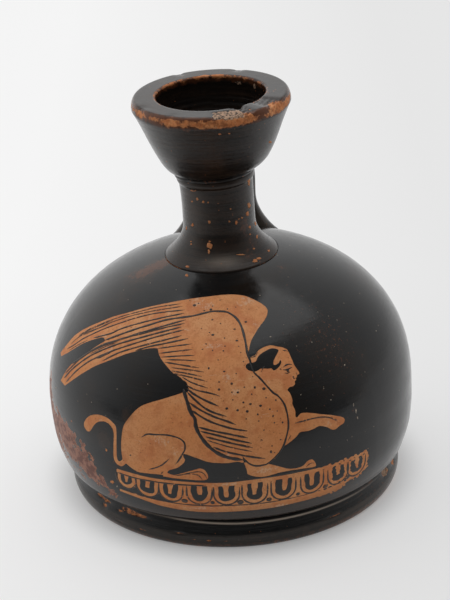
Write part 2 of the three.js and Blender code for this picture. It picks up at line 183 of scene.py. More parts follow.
# Outsides of the neck, the mouth and the foot
COLLAR_EDGE, RING_ACROSS, RING_TALL = 0.35, 0.34, 0.84
collar = arc((COLLAR_RADIUS - COLLAR_EDGE, NECK_BASE + COLLAR_EDGE), (COLLAR_EDGE, COLLAR_EDGE), -60, 80, 6)
flare = bezier([(COLLAR_RADIUS - 0.3, NECK_BASE + 0.75), (NECK_RADIUS, NECK_BASE + 4.0),
                (NECK_RADIUS, NECK_BASE + 7.3)], 18)
neck_straight = [(NECK_RADIUS, 56.0), (NECK_RADIUS + 0.02, NECK_TOP - 1.8)]
neck_ring = arc((NECK_TOP_RADIUS - RING_ACROSS, NECK_TOP - 0.86), (RING_ACROSS, RING_TALL), -80, 70, 12)
NECK_OUT = np.concatenate([collar, flare, neck_straight, neck_ring])
lip_bottom = POT_TOP - LIP_EDGE_HEIGHT
cup_out = bezier([(8.2, MOUTH_BASE), (12.0, MOUTH_BASE + 0.8), (13.0, MOUTH_BASE + 7.0),
                  (LIP_RADIUS, lip_bottom)], 30)
lip_edge = arc((LIP_RADIUS - LIP_ROUNDING, lip_bottom), (LIP_ROUNDING, LIP_EDGE_HEIGHT), 0, 90, 12)
OUTSIDE = np.concatenate([np.stack([WALL_R, WALL_Z], axis=1), NECK_OUT, cup_out, lip_edge])
OUTSIDE = OUTSIDE[np.argsort(OUTSIDE[:, 1], kind="stable")]
foot_top, foot_waist_top = (FOOT_TOP_RADIUS, FOOT_HEIGHT), (34.75, 3.6)
foot_widest, foot_stand = (FOOT_RADIUS, FOOT_WIDEST_HEIGHT), (FOOT_STAND_RADIUS, 0)
foot_upper = spaced(bezier([foot_top, (34.0, 6.35), (34.2, 5.0), foot_waist_top], 24), 0.1)
foot_waist = spaced(bezier([foot_waist_top, (34.95, 3.1), (FOOT_RADIUS, 2.9), foot_widest], 8), 0.2)
foot_under = spaced(bezier([foot_widest, (FOOT_RADIUS, 1.2), (34.8, 0.3), foot_stand], 12), 0.2)
FOOT_OUT = np.concatenate([foot_upper, foot_waist[1:], foot_under[1:]])


def wall_radius(length):
    """Radius of the body at a length along its profile."""
    return np.interp(length, WALL_S, WALL_R)


def wall_height(length):
    """Height of the body at a length along its profile."""
    return np.interp(length, WALL_S, WALL_Z)


def sight(pixels):
    """Directions of the sight lines through photo pixels."""
    pixels = np.asarray(pixels, float)
    across = (pixels[:, :1] - PHOTO_WIDTH / 2) / FOCAL_PX
    up = (PHOTO_HEIGHT / 2 - pixels[:, 1:]) / FOCAL_PX
    return FORWARD + across * CAMERA_RIGHT + up * CAMERA_UP


def meet(start, direction, radii, heights):
    """Where sight lines first meet a turned surface, or pass closest to it."""
    reach = np.arange(CAMERA_DISTANCE - SIGHT_BEFORE, CAMERA_DISTANCE + SIGHT_BEYOND, SIGHT_STEP)
    points = start + reach[None, :, None] * direction[:, None, :]
    outside = np.hypot(points[..., 0], points[..., 1]) - np.interp(points[..., 2], heights, radii)
    hit = outside < 0
    first = np.where(hit.any(axis=1), hit.argmax(axis=1), outside.argmin(axis=1))
    far = reach[first]
    near = far - np.where(hit.any(axis=1), SIGHT_STEP, 0.0)
    for _ in range(HALVINGS):
        middle = (near + far) / 2
        p = start + middle[:, None] * direction
        inside = np.hypot(p[:, 0], p[:, 1]) < np.interp(p[:, 2], heights, radii)
        far = np.where(inside, middle, far)
        near = np.where(inside, near, middle)
    return start + far[:, None] * direction


def on_pot(pixels):
    """Places on the pot's outside under photo pixels, in the leaning frame."""
    start = to_leaning(CAMERA_PLACE, 1)
    return meet(start, to_leaning(sight(pixels), 0), OUTSIDE[:, 0], OUTSIDE[:, 1])


def on_wall(pixels):
    """Turn and length along the body's profile under photo pixels."""
    start = to_leaning(CAMERA_PLACE, 1)
    p = meet(start, to_leaning(sight(pixels), 0), WALL_R, WALL_Z)
    return np.stack([turn_of(p), np.interp(p[:, 2], WALL_Z, WALL_S)], axis=1)


def on_foot(pixels):
    """Turn and height on the level foot under photo pixels."""
    p = meet(CAMERA_PLACE, sight(pixels), FOOT_OUT[::-1, 0], FOOT_OUT[::-1, 1])
    return np.stack([turn_of(p), p[:, 2]], axis=1)


def wobble(turn, height):
    """Small unevenness of a hand-thrown wall, in millimetres of radius."""
    slow = 0.07 * np.sin(2 * turn + 0.11 * height + 0.6) + 0.05 * np.sin(3 * turn - 0.17 * height + 2.1)
    return slow + 0.008 * np.sin(1.3 * height + 0.8 * np.sin(turn))


def wall_wobble(turn, radius, height):
    """Unevenness of the body's wall, none at the collar and at the foot."""
    return wobble(turn, height) * np.clip((radius - COLLAR_RADIUS) / 6, 0, 1) * np.clip(height / 3, 0, 1)


def rough(turn, radius, height):
    """A cheap uneven field between about -1 and 1, for broken surfaces."""
    a = np.sin(turn * 47 + radius * 5.1) * np.sin(height * 6.3 + turn * 31)
    return 0.6 * a + 0.4 * np.sin(radius * 9.7 + turn * 83 + height * 3.7)


def to_left(turn):
    """1 at the left of the pot and 0 at its right."""
    return 0.5 - 0.5 * np.sin(turn)


def seat(turn, radius):
    """Height of the joint over the foot in the leaning frame."""
    return -radius * np.sin(turn) * SEAT_SLOPE


def wall_point(turn, length, rise=0.0):
    """A place on the body's wall, lifted by rise along the wall's normal."""
    r = wall_radius(length)
    z = wall_height(length)
    slope_r = wall_radius(length + 0.2) - wall_radius(length - 0.2)
    slope_z = wall_height(length + 0.2) - wall_height(length - 0.2)
    size = np.hypot(slope_r, slope_z)
    r = r + wall_wobble(turn, r, z) + rise * slope_z / size
    z = z - rise * slope_r / size
    return np.stack([r * np.sin(turn), -r * np.cos(turn), z], axis=-1)


def make_mesh(name, points, faces, attributes, uv=None):
    """A mesh object from world points in metres, with vertex attributes and, when one is given, a bake map
    of its own.
    """
    mesh = bpy.data.meshes.new(name)
    mesh.from_pydata(points.tolist(), [], faces)
    for key, values in attributes.items():
        values = np.asarray(values, np.float32)
        if values.ndim == 2:
            mesh.attributes.new(key, "FLOAT_VECTOR", "POINT").data.foreach_set("vector", values.ravel())
        else:
            mesh.attributes.new(key, "FLOAT", "POINT").data.foreach_set("value", values)
    if uv is not None:
        mesh.uv_layers.new(name="OFBake").data.foreach_set("uv", np.asarray(uv, np.float32).ravel())
    mesh.polygons.foreach_set("use_smooth", [True] * len(mesh.polygons))
    mesh.update()
    piece = bpy.data.objects.new(name, mesh)
    bpy.context.scene.collection.objects.link(piece)
    return piece


def turned_faces(rows, columns, loop, capped):
    """Faces and bake map of a grid whose columns close round, with or without poles or a closed profile."""
    faces = []
    uv = []
    last = rows if loop else rows - 1
    for row in range(last):
        lower, upper = row * columns, (row + 1) % rows * columns
        for column in range(columns):
            right = (column + 1) % columns
            faces.append((lower + column, lower + right, upper + right, upper + column))
            left_u, right_u = column / columns, (column + 1) / columns
            low_v, high_v = row / last, (row + 1) / last
            uv += [(left_u, low_v), (right_u, low_v), (right_u, high_v), (left_u, high_v)]
    if capped:
        faces.append(tuple(range(columns))[::-1])
        faces.append(tuple(range((rows - 1) * columns, rows * columns)))
        uv += [(0.5, 0.0)] * columns + [(0.5, 1.0)] * columns
    return faces, uv


def turned(name, profile, turns, attributes, loop=True, level=False, shape=None, capped=False):
    """A closed turned piece. attributes and shape work from each vertex's turn, radius and height."""
    profile = np.asarray(profile, float)
    turn = np.repeat(np.asarray(turns, float)[None], len(profile), axis=0)
    radius = np.repeat(profile[:, :1], len(turns), axis=1)
    height = np.repeat(profile[:, 1:], len(turns), axis=1)
    if shape is not None:
        radius, height = shape(turn, radius, height)
    local = np.stack([radius * np.sin(turn), -radius * np.cos(turn), height], axis=-1)
    world = local * MM if level else to_world(local)
    faces, uv = turned_faces(len(profile), len(turns), loop, capped)
    values = {"pot": local.reshape(-1, 3)}
    for key, worked_out in attributes.items():
        values[key] = worked_out(turn, radius, height).ravel()
    return make_mesh(name, world.reshape(-1, 3), faces, values, uv)


def tube_faces(start, rows, sides, flip=False):
    """Faces of a tube with closed ends, whose rows of vertices begin at start."""
    faces = []
    for row in range(rows - 1):
        for side in range(sides):
            a = start + row * sides + side
            b = start + row * sides + (side + 1) % sides
            faces.append((a, b, b + sides, a + sides))
    faces.append(tuple(range(start, start + sides))[::-1])
    faces.append(tuple(range(start + (rows - 1) * sides, start + rows * sides)))
    return [face[::-1] for face in faces] if flip else faces


# The sphinx's outlines, in photo pixels
WING_TOP = [(60.9, 352.5), (66, 345.9), (73.3, 337.1), (80.7, 331.2), (90.2, 326.1), (102.7, 320.9),
            (113.7, 316.5), (128.3, 312.5), (146.7, 307.4), (170.7, 302.4), (191.5, 298.7), (208, 296.6),
            (220.5, 295.1), (232.9, 294.5), (243.7, 295.6), (251.2, 298.3), (260.3, 302.8), (266.1, 307.4),
            (267.7, 310.7), (266.9, 315.7), (263.6, 321.5), (258.6, 328.1), (253.6, 336.4), (250.7, 342.2),
            (249.1, 349.7), (248.3, 354.7)]
WING_FRONT = [(249.5, 361.3), (253.6, 371.7), (260.3, 378.7), (272.7, 392.4), (277.8, 395.7),
              (283.6, 402.8), (286.6, 410.7), (288.2, 419), (288.5, 426.4), (287.4, 433), (283.6, 445.5),
              (276.2, 456.3), (267.9, 463.3), (262.9, 465), (257.1, 465.8), (251.3, 464.6), (246.3, 461.2),
              (242.6, 456.3)]
WING_REAR = [(183.3, 389), (186.6, 399.9), (190.8, 412.3), (194.9, 418.9), (195.8, 426.4), (199.1, 433.9),
             (204.9, 442.2), (211.5, 448.8), (219.8, 454.2), (229.8, 457.9), (243, 459.8)]
WING_UNDER = [(157.9, 348.8), (159.1, 354.7), (162.4, 360.5), (167.4, 366.7), (172.4, 372.1), (179.9, 377),
              (184.8, 382), (185.7, 385.3)]
UPPER_TIPS = [(61.5, 356.2), (68.9, 352.1), (77, 347), (84.3, 342.9), (93.1, 339.6), (102.7, 337.2),
              (104.9, 339.3)]
LOWER_TIPS_TOP = [(61.2, 380.3), (66, 371.5), (73.3, 362.7), (84.3, 354.7), (95.3, 347), (104.9, 341.2)]
LOWER_TIPS = [(65.3, 385.5), (75.5, 378.1), (84.3, 372.3), (95.3, 366), (106.3, 361.6), (117.3, 357.2),
              (128.3, 353.2), (143, 349.5), (151.8, 348.1), (157.7, 348.2)]
DIVIDE = [(105, 340.2), (117.3, 335.6), (128.3, 331.6), (139.3, 327.9), (150.3, 324.6), (166.6, 319.8),
          (189, 316.5), (195.6, 315.3), (211.4, 311.5), (218.8, 311.3), (226.3, 311.9), (232.9, 315.3),
          (237.9, 320.2), (242, 328.1), (245.4, 341.4), (247.4, 353), (249.5, 361.3)]
RUMP = [(184, 391), (182.5, 392.7), (166.1, 397.9), (144.6, 404.4), (136, 410), (129.1, 417.7),
        (123.9, 425.5), (122.2, 433.2), (121.3, 443.5), (121.8, 453.9), (123.4, 460.5), (129.1, 466),
        (135.1, 470.3), (140.3, 472.4), (157.5, 474.2), (166.1, 474.6), (168.5, 470.5), (177.3, 467.7),
        (183.3, 463.3), (185, 459.9), (183.4, 456.6), (184.1, 453.8), (196.6, 457.9), (207.4, 461.7),
        (217.3, 462.9), (228.1, 462.9), (237.2, 461.7), (244, 463)]
TAIL = [(123.4, 458.5), (119.4, 461.6), (117, 458.2), (116.6, 449.6), (116.6, 436.7), (116.2, 427.2),
        (113.6, 422.9), (107.6, 417.7), (99.8, 414.7), (92.9, 414.7), (87.7, 417.3), (84.3, 422.9),
        (85.2, 428), (89.5, 431.5), (94.6, 424.6), (98.9, 421.6), (105.8, 421.6), (111.4, 426.3),
        (113.9, 433.2), (113.6, 445.3), (113.8, 458.2), (117.2, 464.2), (122.2, 466.2), (126.5, 462.6)]
HIND_FOOT = [(166.1, 472.4), (173.8, 474.9), (183.3, 472.8), (194.5, 469.8), (200.5, 468.5), (205.7, 471.1),
             (208.3, 478), (202.3, 480.2), (188, 479.4), (173.8, 478), (162.7, 476.2)]
FORELEG = [(243.7, 462), (246.8, 469.8), (248.6, 474.4), (262.3, 476.6), (281, 472), (297, 469.2),
           (314.5, 466.4), (315.2, 463), (312.1, 459.2), (307.1, 461.1), (302.1, 466.1), (289.7, 468.6),
           (278.5, 466.1), (268.5, 463.6)]
BREAST = [(287.6, 390.5), (290.5, 393.9), (292.7, 400.6), (292.4, 404.1), (295.3, 410.4), (295.6, 416.7),
          (297.4, 417.4), (300.9, 413.6), (306.5, 412.9), (314.9, 413.4), (321.2, 414.3), (333.1, 415.3),
          (343.7, 417.8), (344, 422.7), (339.5, 425.9), (335.2, 429.4), (331.7, 429.4), (327.5, 427.3),
          (319.8, 425.9), (314.9, 428.3), (308.6, 430.8), (300.2, 432.2), (296.7, 436.4), (291, 441.3),
          (284, 446.2)]
# The head has a plain classical profile: straight brow and nose, small lips, round chin
CROWN = [(250.3, 357.4), (255.4, 355.2), (258.2, 350.9), (263.7, 347.4), (270.9, 345.4), (277, 346.6),
         (283, 347.6), (287.4, 349.6)]
PROFILE = [(287.4, 349.6), (289.6, 353.6), (291.9, 359), (294.2, 364.6), (297, 369), (299.6, 372.8),
           (299.2, 374.4), (296.8, 375), (297.4, 377), (295.9, 378.3), (296.7, 380.1), (294.9, 381.6),
           (295.4, 384), (293.4, 386.4), (289.6, 387.4), (287.4, 390.5)]
HAIR = [(256.3, 360.8), (259.1, 355.6), (266.8, 350.3), (272.5, 348.4), (277.3, 349.3), (279, 350.3),
        (277.3, 354.1), (275.2, 358), (273.7, 361.8), (274, 365.1), (276.4, 364.7), (279.2, 362.7),
        (280.4, 359.9), (281.6, 361.8), (280.9, 364.7), (278.3, 368), (275.4, 370.4), (273, 370.4),
        (271.6, 368.5), (267.7, 369), (263.9, 368.7), (260.1, 369.2), (257.7, 370.9), (254.3, 371.8),
        (250.5, 371.1), (247.2, 369.4), (245.5, 366.6), (247.2, 363.7), (251, 363.2), (255.8, 361.8)]
NAPE_GAP = [(249.2, 349.7), (256.6, 338), (262, 344.6), (256.6, 350.6), (254.4, 354.2), (249.4, 356.6)]
KNOT = [(179.5, 379.4), (184.6, 380.6), (187.6, 384.6), (188.6, 391), (185.4, 392.6), (182.2, 389),
        (178.6, 384)]
# Where the rump and the breast run on under the wing
HIDDEN_RUMP = [(243, 459.8), (230, 440), (200, 400), (184, 391)]
HIDDEN_BREAST = [(284, 446.2), (270, 430), (262, 400), (250.3, 357.4)]

# The egg band, in photo pixels
BAND_TOP = [(116.5, 468.6), (133.3, 473.5), (151.9, 477.9), (176.8, 480.9), (201.7, 482.6), (225, 482.6),
            (244, 480.6), (262.3, 478.2), (287.2, 474.4), (317, 468), (330.7, 464.2), (344.4, 459.2),
            (356.8, 454.6), (367.6, 449.3)]
STRIPE_TOP = [(119.6, 488.6), (145.7, 497.2), (176.8, 503.4), (207.9, 505.9), (235, 505.2), (256.1, 503.8),
              (281, 500.4), (312.1, 493.2), (333.2, 485.7), (346, 479.6)]
STRIPE_BOTTOM = [(119.6, 490.9), (148.2, 501.5), (164.4, 506.5), (189.2, 510.8), (214.1, 512.1),
                 (249.9, 510.2), (274.7, 507.1), (299.6, 501.6), (314.7, 497.6), (331, 492.7), (339.6, 489),
                 (347.2, 482)]
EGG_TOPS = [(125.8, 474.4), (147, 479.9), (170.6, 483.5), (199.2, 486), (226.5, 486.2), (254.8, 483),
            (283.4, 478.6), (312, 472.6), (338.2, 465), (356.8, 457.2)]
EGG_BOTTOMS = [(126.4, 488), (147.6, 496.4), (171, 501), (199.4, 504), (226.6, 504.4), (254.6, 503),
               (283.2, 498.8), (311.8, 492.4), (337.6, 483.4), (355.6, 475)]
EGG_END = [(367.8, 451), (368.3, 457), (366.6, 463), (367, 467), (362.4, 471.4), (358, 476.4), (352, 479),
           (346, 481.6)]
# Radii of an egg's black and of the clay ring round it, in millimetres, the first egg with clay beside it
# and the first egg whose edges are ragged
EGG_BLACK, EGG_RING = 1.60, 2.45
FILLED_FROM_EGG, RAGGED_FROM_EGG = 2, 7

# Brush lines in photo pixels: width in millimetres, then the points
LINES = [
    (0.46, DIVIDE), (0.36, WING_FRONT), (0.72, WING_REAR),
    (0.28, [(80, 334.6), (88, 329.9), (95.8, 326.2), (112.1, 319.6), (126.4, 315), (142.8, 310.7),
            (157, 307.2), (180.5, 303.8)]),
    (0.28, [(71.5, 343.5), (78, 337.8), (86, 332.9), (100.9, 326.9), (112.1, 322), (130.5, 316),
            (146.8, 312.2), (162.1, 309.4), (182.6, 306.3)]),
    (0.32, [(67.5, 348.8), (75.4, 344.1), (82.6, 339), (91.7, 334.4), (104, 328.8), (118.3, 323.6),
            (130.5, 319.5), (144.8, 315.6), (159.1, 312.8), (184.6, 309.9)]),
    (0.24, [(69.7, 350.3), (78, 345), (88, 340)]),
    (0.2, [(79, 336), (90, 329.9), (102, 324.6), (113, 320.4)]),
    (0.2, [(84, 335), (96, 329.4), (108, 324.6)]), (0.24, [(114.2, 331), (128.5, 326.4), (142.8, 321.9)]),
    (0.2, [(86, 354.6), (98, 348.4), (112, 342.7), (126, 338.2)]),
    (0.2, [(90, 354), (104, 347.2), (118, 341.8)]), (0.46, [(97.9, 358.2), (106, 354.2), (114.2, 350.1)]),
    (0.36, [(93.9, 337.8), (111.5, 333.2), (121, 328.8), (135.7, 324.2), (160, 318.2), (184.4, 313.2)]),
    (0.40, [(72.6, 363.5), (88.7, 352.5), (101.9, 345.1), (118, 340), (135.7, 334.3), (160, 327),
            (185.7, 319.8)]),
    (0.36, [(66, 372.8), (79.2, 359.9), (91.7, 351.3), (106.3, 344.7), (126.9, 337.4), (144.5, 333),
            (165, 327.6), (184.8, 323.3)]),
    (0.40, [(64.5, 377.8), (74.8, 367.1), (90.2, 355.9), (106.3, 348.4), (121, 343.1), (137.9, 338.3),
            (160, 332.4), (181.5, 326.9)]),
    (0.36, [(66.5, 382), (76.3, 371.2), (86.5, 363.1), (96.1, 357.8), (113.7, 350.3), (141.5, 341.2),
            (160, 335.8), (184, 329.8)]),
    (0.36, [(103, 360.6), (119.5, 352.5), (139.3, 346.4), (162.8, 340.4), (181.5, 335.6)]),
    (0.36, [(135.7, 350.6), (148.9, 346.6), (165, 343.4), (188.1, 338.5)]),
    (0.28, [(158.3, 348.4), (176, 345.9), (191.9, 343.9)]),
    (0.28, [(158.7, 353.4), (176, 351.2), (192.3, 349.5)]),
    (0.28, [(161.2, 357.1), (178, 356), (194.4, 355.3)]),
    (0.26, [(166.6, 359.6), (182, 360), (195.6, 360.9)]),
    (0.30, [(164.9, 362.1), (182, 365), (198.9, 367.9)]),
    (0.26, [(171.6, 367.6), (188, 369.6), (203.9, 372.1)]),
    (0.28, [(171.7, 370.7), (188, 373.6), (201.8, 376.6)]),
    (0.28, [(173.2, 373.3), (190, 377), (207.2, 381.6)]),
    (0.28, [(182.3, 377), (191.5, 382.4), (208, 388.4)]),
    (0.30, [(186.5, 385.3), (195.6, 389.9), (211.4, 393.6), (220.2, 396.4)]),
    (0.40, [(187, 388.4), (193.3, 393.7), (204.9, 400.3), (218.6, 406.3)]),
    (0.40, [(186.8, 391.6), (194.9, 399.9), (204.9, 408.2), (214.8, 413.1), (226.4, 416.5)]),
    (0.40, [(189.1, 402.4), (199.9, 409.8), (213.2, 416.5), (224.8, 420.6), (236, 424.8)]),
    (0.40, [(191, 410), (204.9, 419), (216.5, 424.1), (233.1, 428.9), (247.2, 431)]),
    (0.40, [(198.2, 427.2), (213.2, 431), (229.8, 434.3), (248, 438)]),
    (0.40, [(200.7, 431.4), (219.8, 436), (233.9, 439.7), (251.7, 443.4)]),
    (0.40, [(205.7, 436.8), (221.5, 440.9), (238, 444.7), (252.6, 447.6)]),
    (0.24, [(207.4, 440.5), (229.8, 447.1), (252.1, 451.6)]),
    (0.40, [(213.2, 447.1), (225.6, 451.7), (242.2, 455.2), (255, 457.3), (265, 458.3)]),
    (0.32, [(141.6, 437.1), (147.2, 434.1), (154.9, 434.5), (166.1, 434.9), (174.7, 436.7), (180.7, 439.2),
            (184.6, 443.5), (184.8, 449.6), (182.5, 453.9), (179, 459.9), (175.6, 464.2)]),
    (0.28, [(148.9, 469.4), (155.8, 467.7), (161.8, 465.1), (166.1, 461.6), (169.5, 458.6)]),
    (0.24, [(160.9, 474), (163.5, 471.2)]), (0.3, [(129.8, 455.4), (131.2, 455)]),
    (0.24, [(174.7, 475.8), (187.6, 473.9), (196.2, 474.5), (200.5, 477.1), (202.7, 480.4)]),
    (0.22, [(183.3, 473.9), (198, 471.7), (204, 473.7), (207, 478.8)]),
    (0.30, [(294.6, 423.4), (305.1, 420.6), (314.9, 418.1), (323.3, 417.1), (330.3, 417.8), (336.6, 420.3),
            (340.2, 422.7)]), (0.26, [(291, 435), (288.2, 440.6)]),
    (0.22, [(305.8, 467), (309.6, 463.6), (313.9, 462.3)]),
    (0.34, [(283.2, 367.6), (285.8, 365.5), (289, 364.4), (292, 364.8)]),
    (0.42, [(283.4, 369.9), (286.6, 370.1), (289.4, 368.9), (292, 367.3)]),
    (0.24, [(285, 373), (288, 373.5), (290.4, 372)]), (0.8, [(287, 371.4), (289.2, 370.8)]),
    (0.30, [(283, 350.5), (286, 350.8), (288.3, 351.5)]),
    (0.24, [(264.9, 366.1), (263, 368.5), (261.5, 372.3)]),
    (0.26, [(250.8, 358), (255.8, 356), (257.7, 352.4)]), (0.24, [(292.8, 377.2), (294.2, 377)]),
    (0.3, [(280, 369.4), (280.9, 369.4)]), (0.2, [(293.4, 378.6), (295.6, 378.4)]),
    (0.2, [(296.4, 373.6), (297.3, 374.5)]),
    (0.32, [(117.7, 472.5), (134.5, 477.9), (158.1, 482.2), (183, 484.7), (206, 485.6)]),
    (0.34, [(246, 478.8), (262.3, 477.4), (287.2, 473.1), (303.4, 469.7), (316, 467)]),
    (0.26, [(119.6, 488.4), (145.7, 497), (176.8, 503.2), (207.9, 505.7), (235, 505), (256.1, 503.6),
            (281, 500.2)]),
]
# Dots on the wing's shoulder, in photo pixels
DOTS = [(189.8, 300.8), (198.5, 303.4), (194.4, 305.3), (212.6, 306.1), (210.9, 309.6), (204.3, 310.7),
        (220.1, 300.1), (227.5, 309), (235.7, 307.2), (212.2, 319.7), (220.5, 323.6), (201.4, 328.5),
        (209.4, 332.5), (212.8, 334.9), (234.6, 329.2), (224.5, 338.1), (206.1, 343.9), (236.8, 340.7),
        (245.9, 321.9), (225, 346.2), (202.4, 349.3), (212.6, 350.5), (223.4, 350.9), (238.7, 346.4),
        (240.8, 352.6), (218.2, 360), (243.5, 361.7), (208.7, 368.3), (224.2, 371.5), (236.2, 373.6),
        (252.7, 376.8), (219.1, 382), (231.7, 383.8), (219, 389.6), (244.4, 387.4), (254.9, 387.6),
        (264, 388.9), (231.9, 392.5), (237.9, 392.6), (251.8, 394.5), (266.2, 397.8), (276, 400.3),
        (232.8, 400), (243.4, 402.6), (250.5, 404.2), (260.6, 405.9), (270, 409.4), (277.4, 411.2),
        (226.8, 408.6), (237.6, 410.4), (247.3, 411.5), (257.8, 414.6), (273.3, 416.2), (246.2, 419.2),
        (258.8, 421.2), (274.4, 422.8), (282.7, 422.5), (264, 430.2), (261.3, 440.5), (280.6, 439.7),
        (272, 445.9), (271, 451.7), (274.5, 452.5)]


def outline_of(*runs):
    """A closed outline on the wall from runs of photo points, each drawn as a smooth curve."""
    return on_wall(np.concatenate([flow(run) for run in runs]))


def depth_inside(outline, turn, length, radius):
    """How deep in millimetres each wall vertex lies inside a closed outline, negative outside."""
    nearest = np.full(len(turn), 1e6)
    inside = np.zeros(len(turn), bool)
    for (turn_a, length_a), (turn_b, length_b) in zip(outline, np.roll(outline, -1, axis=0)):
        ax, ay = (turn_a - turn) * radius, length_a - length
        ex, ey = (turn_b - turn_a) * radius, length_b - length_a
        share = np.clip(-(ax * ex + ay * ey) / np.maximum(ex * ex + ey * ey, 1e-9), 0, 1)
        nearest = np.minimum(nearest, np.hypot(ax + share * ex, ay + share * ey))
        if length_a != length_b:
            spans = (length_a > length) != (length_b > length)
            crossing = turn_a + (length - length_a) * (turn_b - turn_a) / (length_b - length_a)
            inside ^= spans & (turn < crossing)
    return np.where(inside, nearest, -nearest)


def shifted(points, down):
    """Photo points moved down by some pixels."""
    return [(x, y + down) for x, y in points]


FIGURE = [
    outline_of(WING_TOP, WING_FRONT, WING_REAR[::-1], WING_UNDER[::-1], LOWER_TIPS[::-1], LOWER_TIPS_TOP,
               UPPER_TIPS[::-1]),
    outline_of(RUMP, HIDDEN_RUMP),
    outline_of(TAIL), outline_of(HIND_FOOT), outline_of(FORELEG),
    outline_of(CROWN, PROFILE, BREAST, HIDDEN_BREAST),
]
BLACKED = [outline_of(HAIR), outline_of(NAPE_GAP), outline_of(KNOT)]
STRIPES = [outline_of(BAND_TOP, shifted(BAND_TOP, 3.4)[::-1]), outline_of(STRIPE_TOP, STRIPE_BOTTOM[::-1])]
EGG_ZONE = outline_of(shifted(BAND_TOP, 2.6), EGG_END, shifted(STRIPE_TOP, -0.8)[::-1])
EGGS = list(zip(on_wall(EGG_TOPS), on_wall(EGG_BOTTOMS)))


def egg_place(egg, turn, length, radius):
    """Millimetres across and above the middle of an egg's round end."""
    (top_turn, top_length), (bottom_turn, bottom_length) = egg
    bx, by = (turn - bottom_turn) * radius, length - bottom_length
    tx, ty = (top_turn - bottom_turn) * radius, top_length - bottom_length
    tall = np.hypot(tx, ty)
    return (bx * ty - by * tx) / tall, (bx * tx + by * ty) / tall - EGG_RING


def egg_pattern(turn, length, radius):
    """Signed distance into the clay of the eggs' rings and tongues, and between the eggs."""
    near = np.full(len(turn), 99.0)
    tongues = np.full(len(turn), -9.0)
    for index, egg in enumerate(EGGS):
        across, above = egg_place(egg, turn, length, radius)
        squeeze = (1.15 if index == 0 else 1.0) * (1 + 0.05 * math.sin(index * 4.1))
        around = np.arctan2(across, -above)
        reach = np.hypot(across * squeeze, np.minimum(above, 0))
        reach = reach + 0.09 * np.sin(around * 3 + index * 1.7) + 0.05 * np.sin(above * 3.1 + index)
        near = np.minimum(near, reach)
        slant = 0.16 * math.sin(index * 2.3 + 0.5) + 0.08 * above * math.sin(index * 1.3)
        wide = 0.40 + 0.10 * above + 0.07 * np.sin(above * 2.6 + index * 2.0)
        low_end = 0.9 if index == 0 else 0.35 + 0.3 * math.sin(index * 3.7)
        tongues = np.maximum(tongues, np.minimum(wide - np.abs(across - slant), above + low_end))
    pattern = np.maximum(tongues, np.minimum(near - EGG_BLACK, EGG_RING - near))
    beside = np.where(turn > EGGS[FILLED_FROM_EGG][0][0], near - EGG_RING, -1.0)
    return np.maximum(pattern, beside)


def reserved(turn, length):
    """Signed distance into the clay that the painter left clear of gloss."""
    radius = wall_radius(length)
    clay = np.full(len(turn), -9.0)
    for outline in FIGURE:
        clay = np.maximum(clay, depth_inside(outline, turn, length, radius))
    for outline in BLACKED:
        clay = np.minimum(clay, -depth_inside(outline, turn, length, radius))
    ends = np.clip((turn - EGGS[RAGGED_FROM_EGG][0][0]) / 0.12, 0, 1)
    ragged = ends * (0.22 * np.sin(turn * 190 + length * 3.0) + 0.20 * np.sin(length * 7.3 - turn * 60))
    for outline in STRIPES:
        clay = np.maximum(clay, depth_inside(outline, turn, length, radius) + ragged)
    band = depth_inside(EGG_ZONE, turn, length, radius) + ragged
    return np.maximum(clay, np.minimum(egg_pattern(turn, length, radius) + 0.4 * ragged, band))


# Body: fine columns over the painted front, coarse ones behind
FRONT_FROM, FRONT_TO, FINE, COARSE_COLUMNS = math.radians(-79), math.radians(49), 0.255, 54
AXIS_GAP, BODY_HOLE_RADIUS, CORNER_REACH = 0.05, 7.0, 9.0
front = np.arange(FRONT_FROM, FRONT_TO, FINE / BELLY_RADIUS)
behind_front = np.linspace(FRONT_TO, FRONT_FROM + 2 * math.pi, COARSE_COLUMNS, endpoint=False)
TURNS = np.concatenate([front, behind_front])
wall_lengths = np.arange(np.interp(0.0, WALL_Z, WALL_S), WALL_S[-1], FINE)
wall = np.stack([wall_radius(wall_lengths), wall_height(wall_lengths)], axis=1)
inner_belly = BELLY_RADIUS - BODY_WALL
inner_r = inner_belly * np.cos(np.linspace(math.acos(BODY_HOLE_RADIUS / inner_belly), 0, 10))
inner_z = dome_height(inner_r, inner_belly, DOME_HEIGHT - SHOULDER_WALL, DOME_SIDE_POWER, DOME_TOP_POWER)
inner = np.stack([inner_r, inner_z], axis=1)
corner_middle = (inner_belly - CORNER_REACH, FLOOR_THICKNESS + FLOOR_CORNER)
corner_in = arc(corner_middle, (CORNER_REACH, FLOOR_CORNER), 0, -90, 6)
underside = [(AXIS_GAP, 0.0), (12.0, 0.0), (24.0, 0.0), (33.0, 0.0), (35.6, 0.0)]
hole = [(COLLAR_RADIUS - 0.1, 42.4), (9.5, 41.7), (BODY_HOLE_RADIUS, 41.6)]
BODY_PROFILE = np.concatenate([underside, wall, hole, inner, corner_in[1:], [(AXIS_GAP, FLOOR_THICKNESS)]])
WALL_ROWS = slice(len(underside), len(underside) + len(wall))


def body_shape(turn, radius, height):
    """The thrown wall's unevenness, and its tucked lower edge on the sloping joint."""
    outer = np.zeros((len(BODY_PROFILE), 1))
    outer[WALL_ROWS] = 1
    uneven = outer * wall_wobble(turn, radius, height)
    tuck = BASE_TUCK * np.clip(1 - height / 5.0, 0, 1) ** 2
    tuck = tuck + EDGE_TUCK * np.clip(1 - height / 0.8, 0, 1) ** 2
    return radius + uneven - outer * tuck, height + seat(turn, radius) * np.clip(1 - height / 1.3, 0, 1)


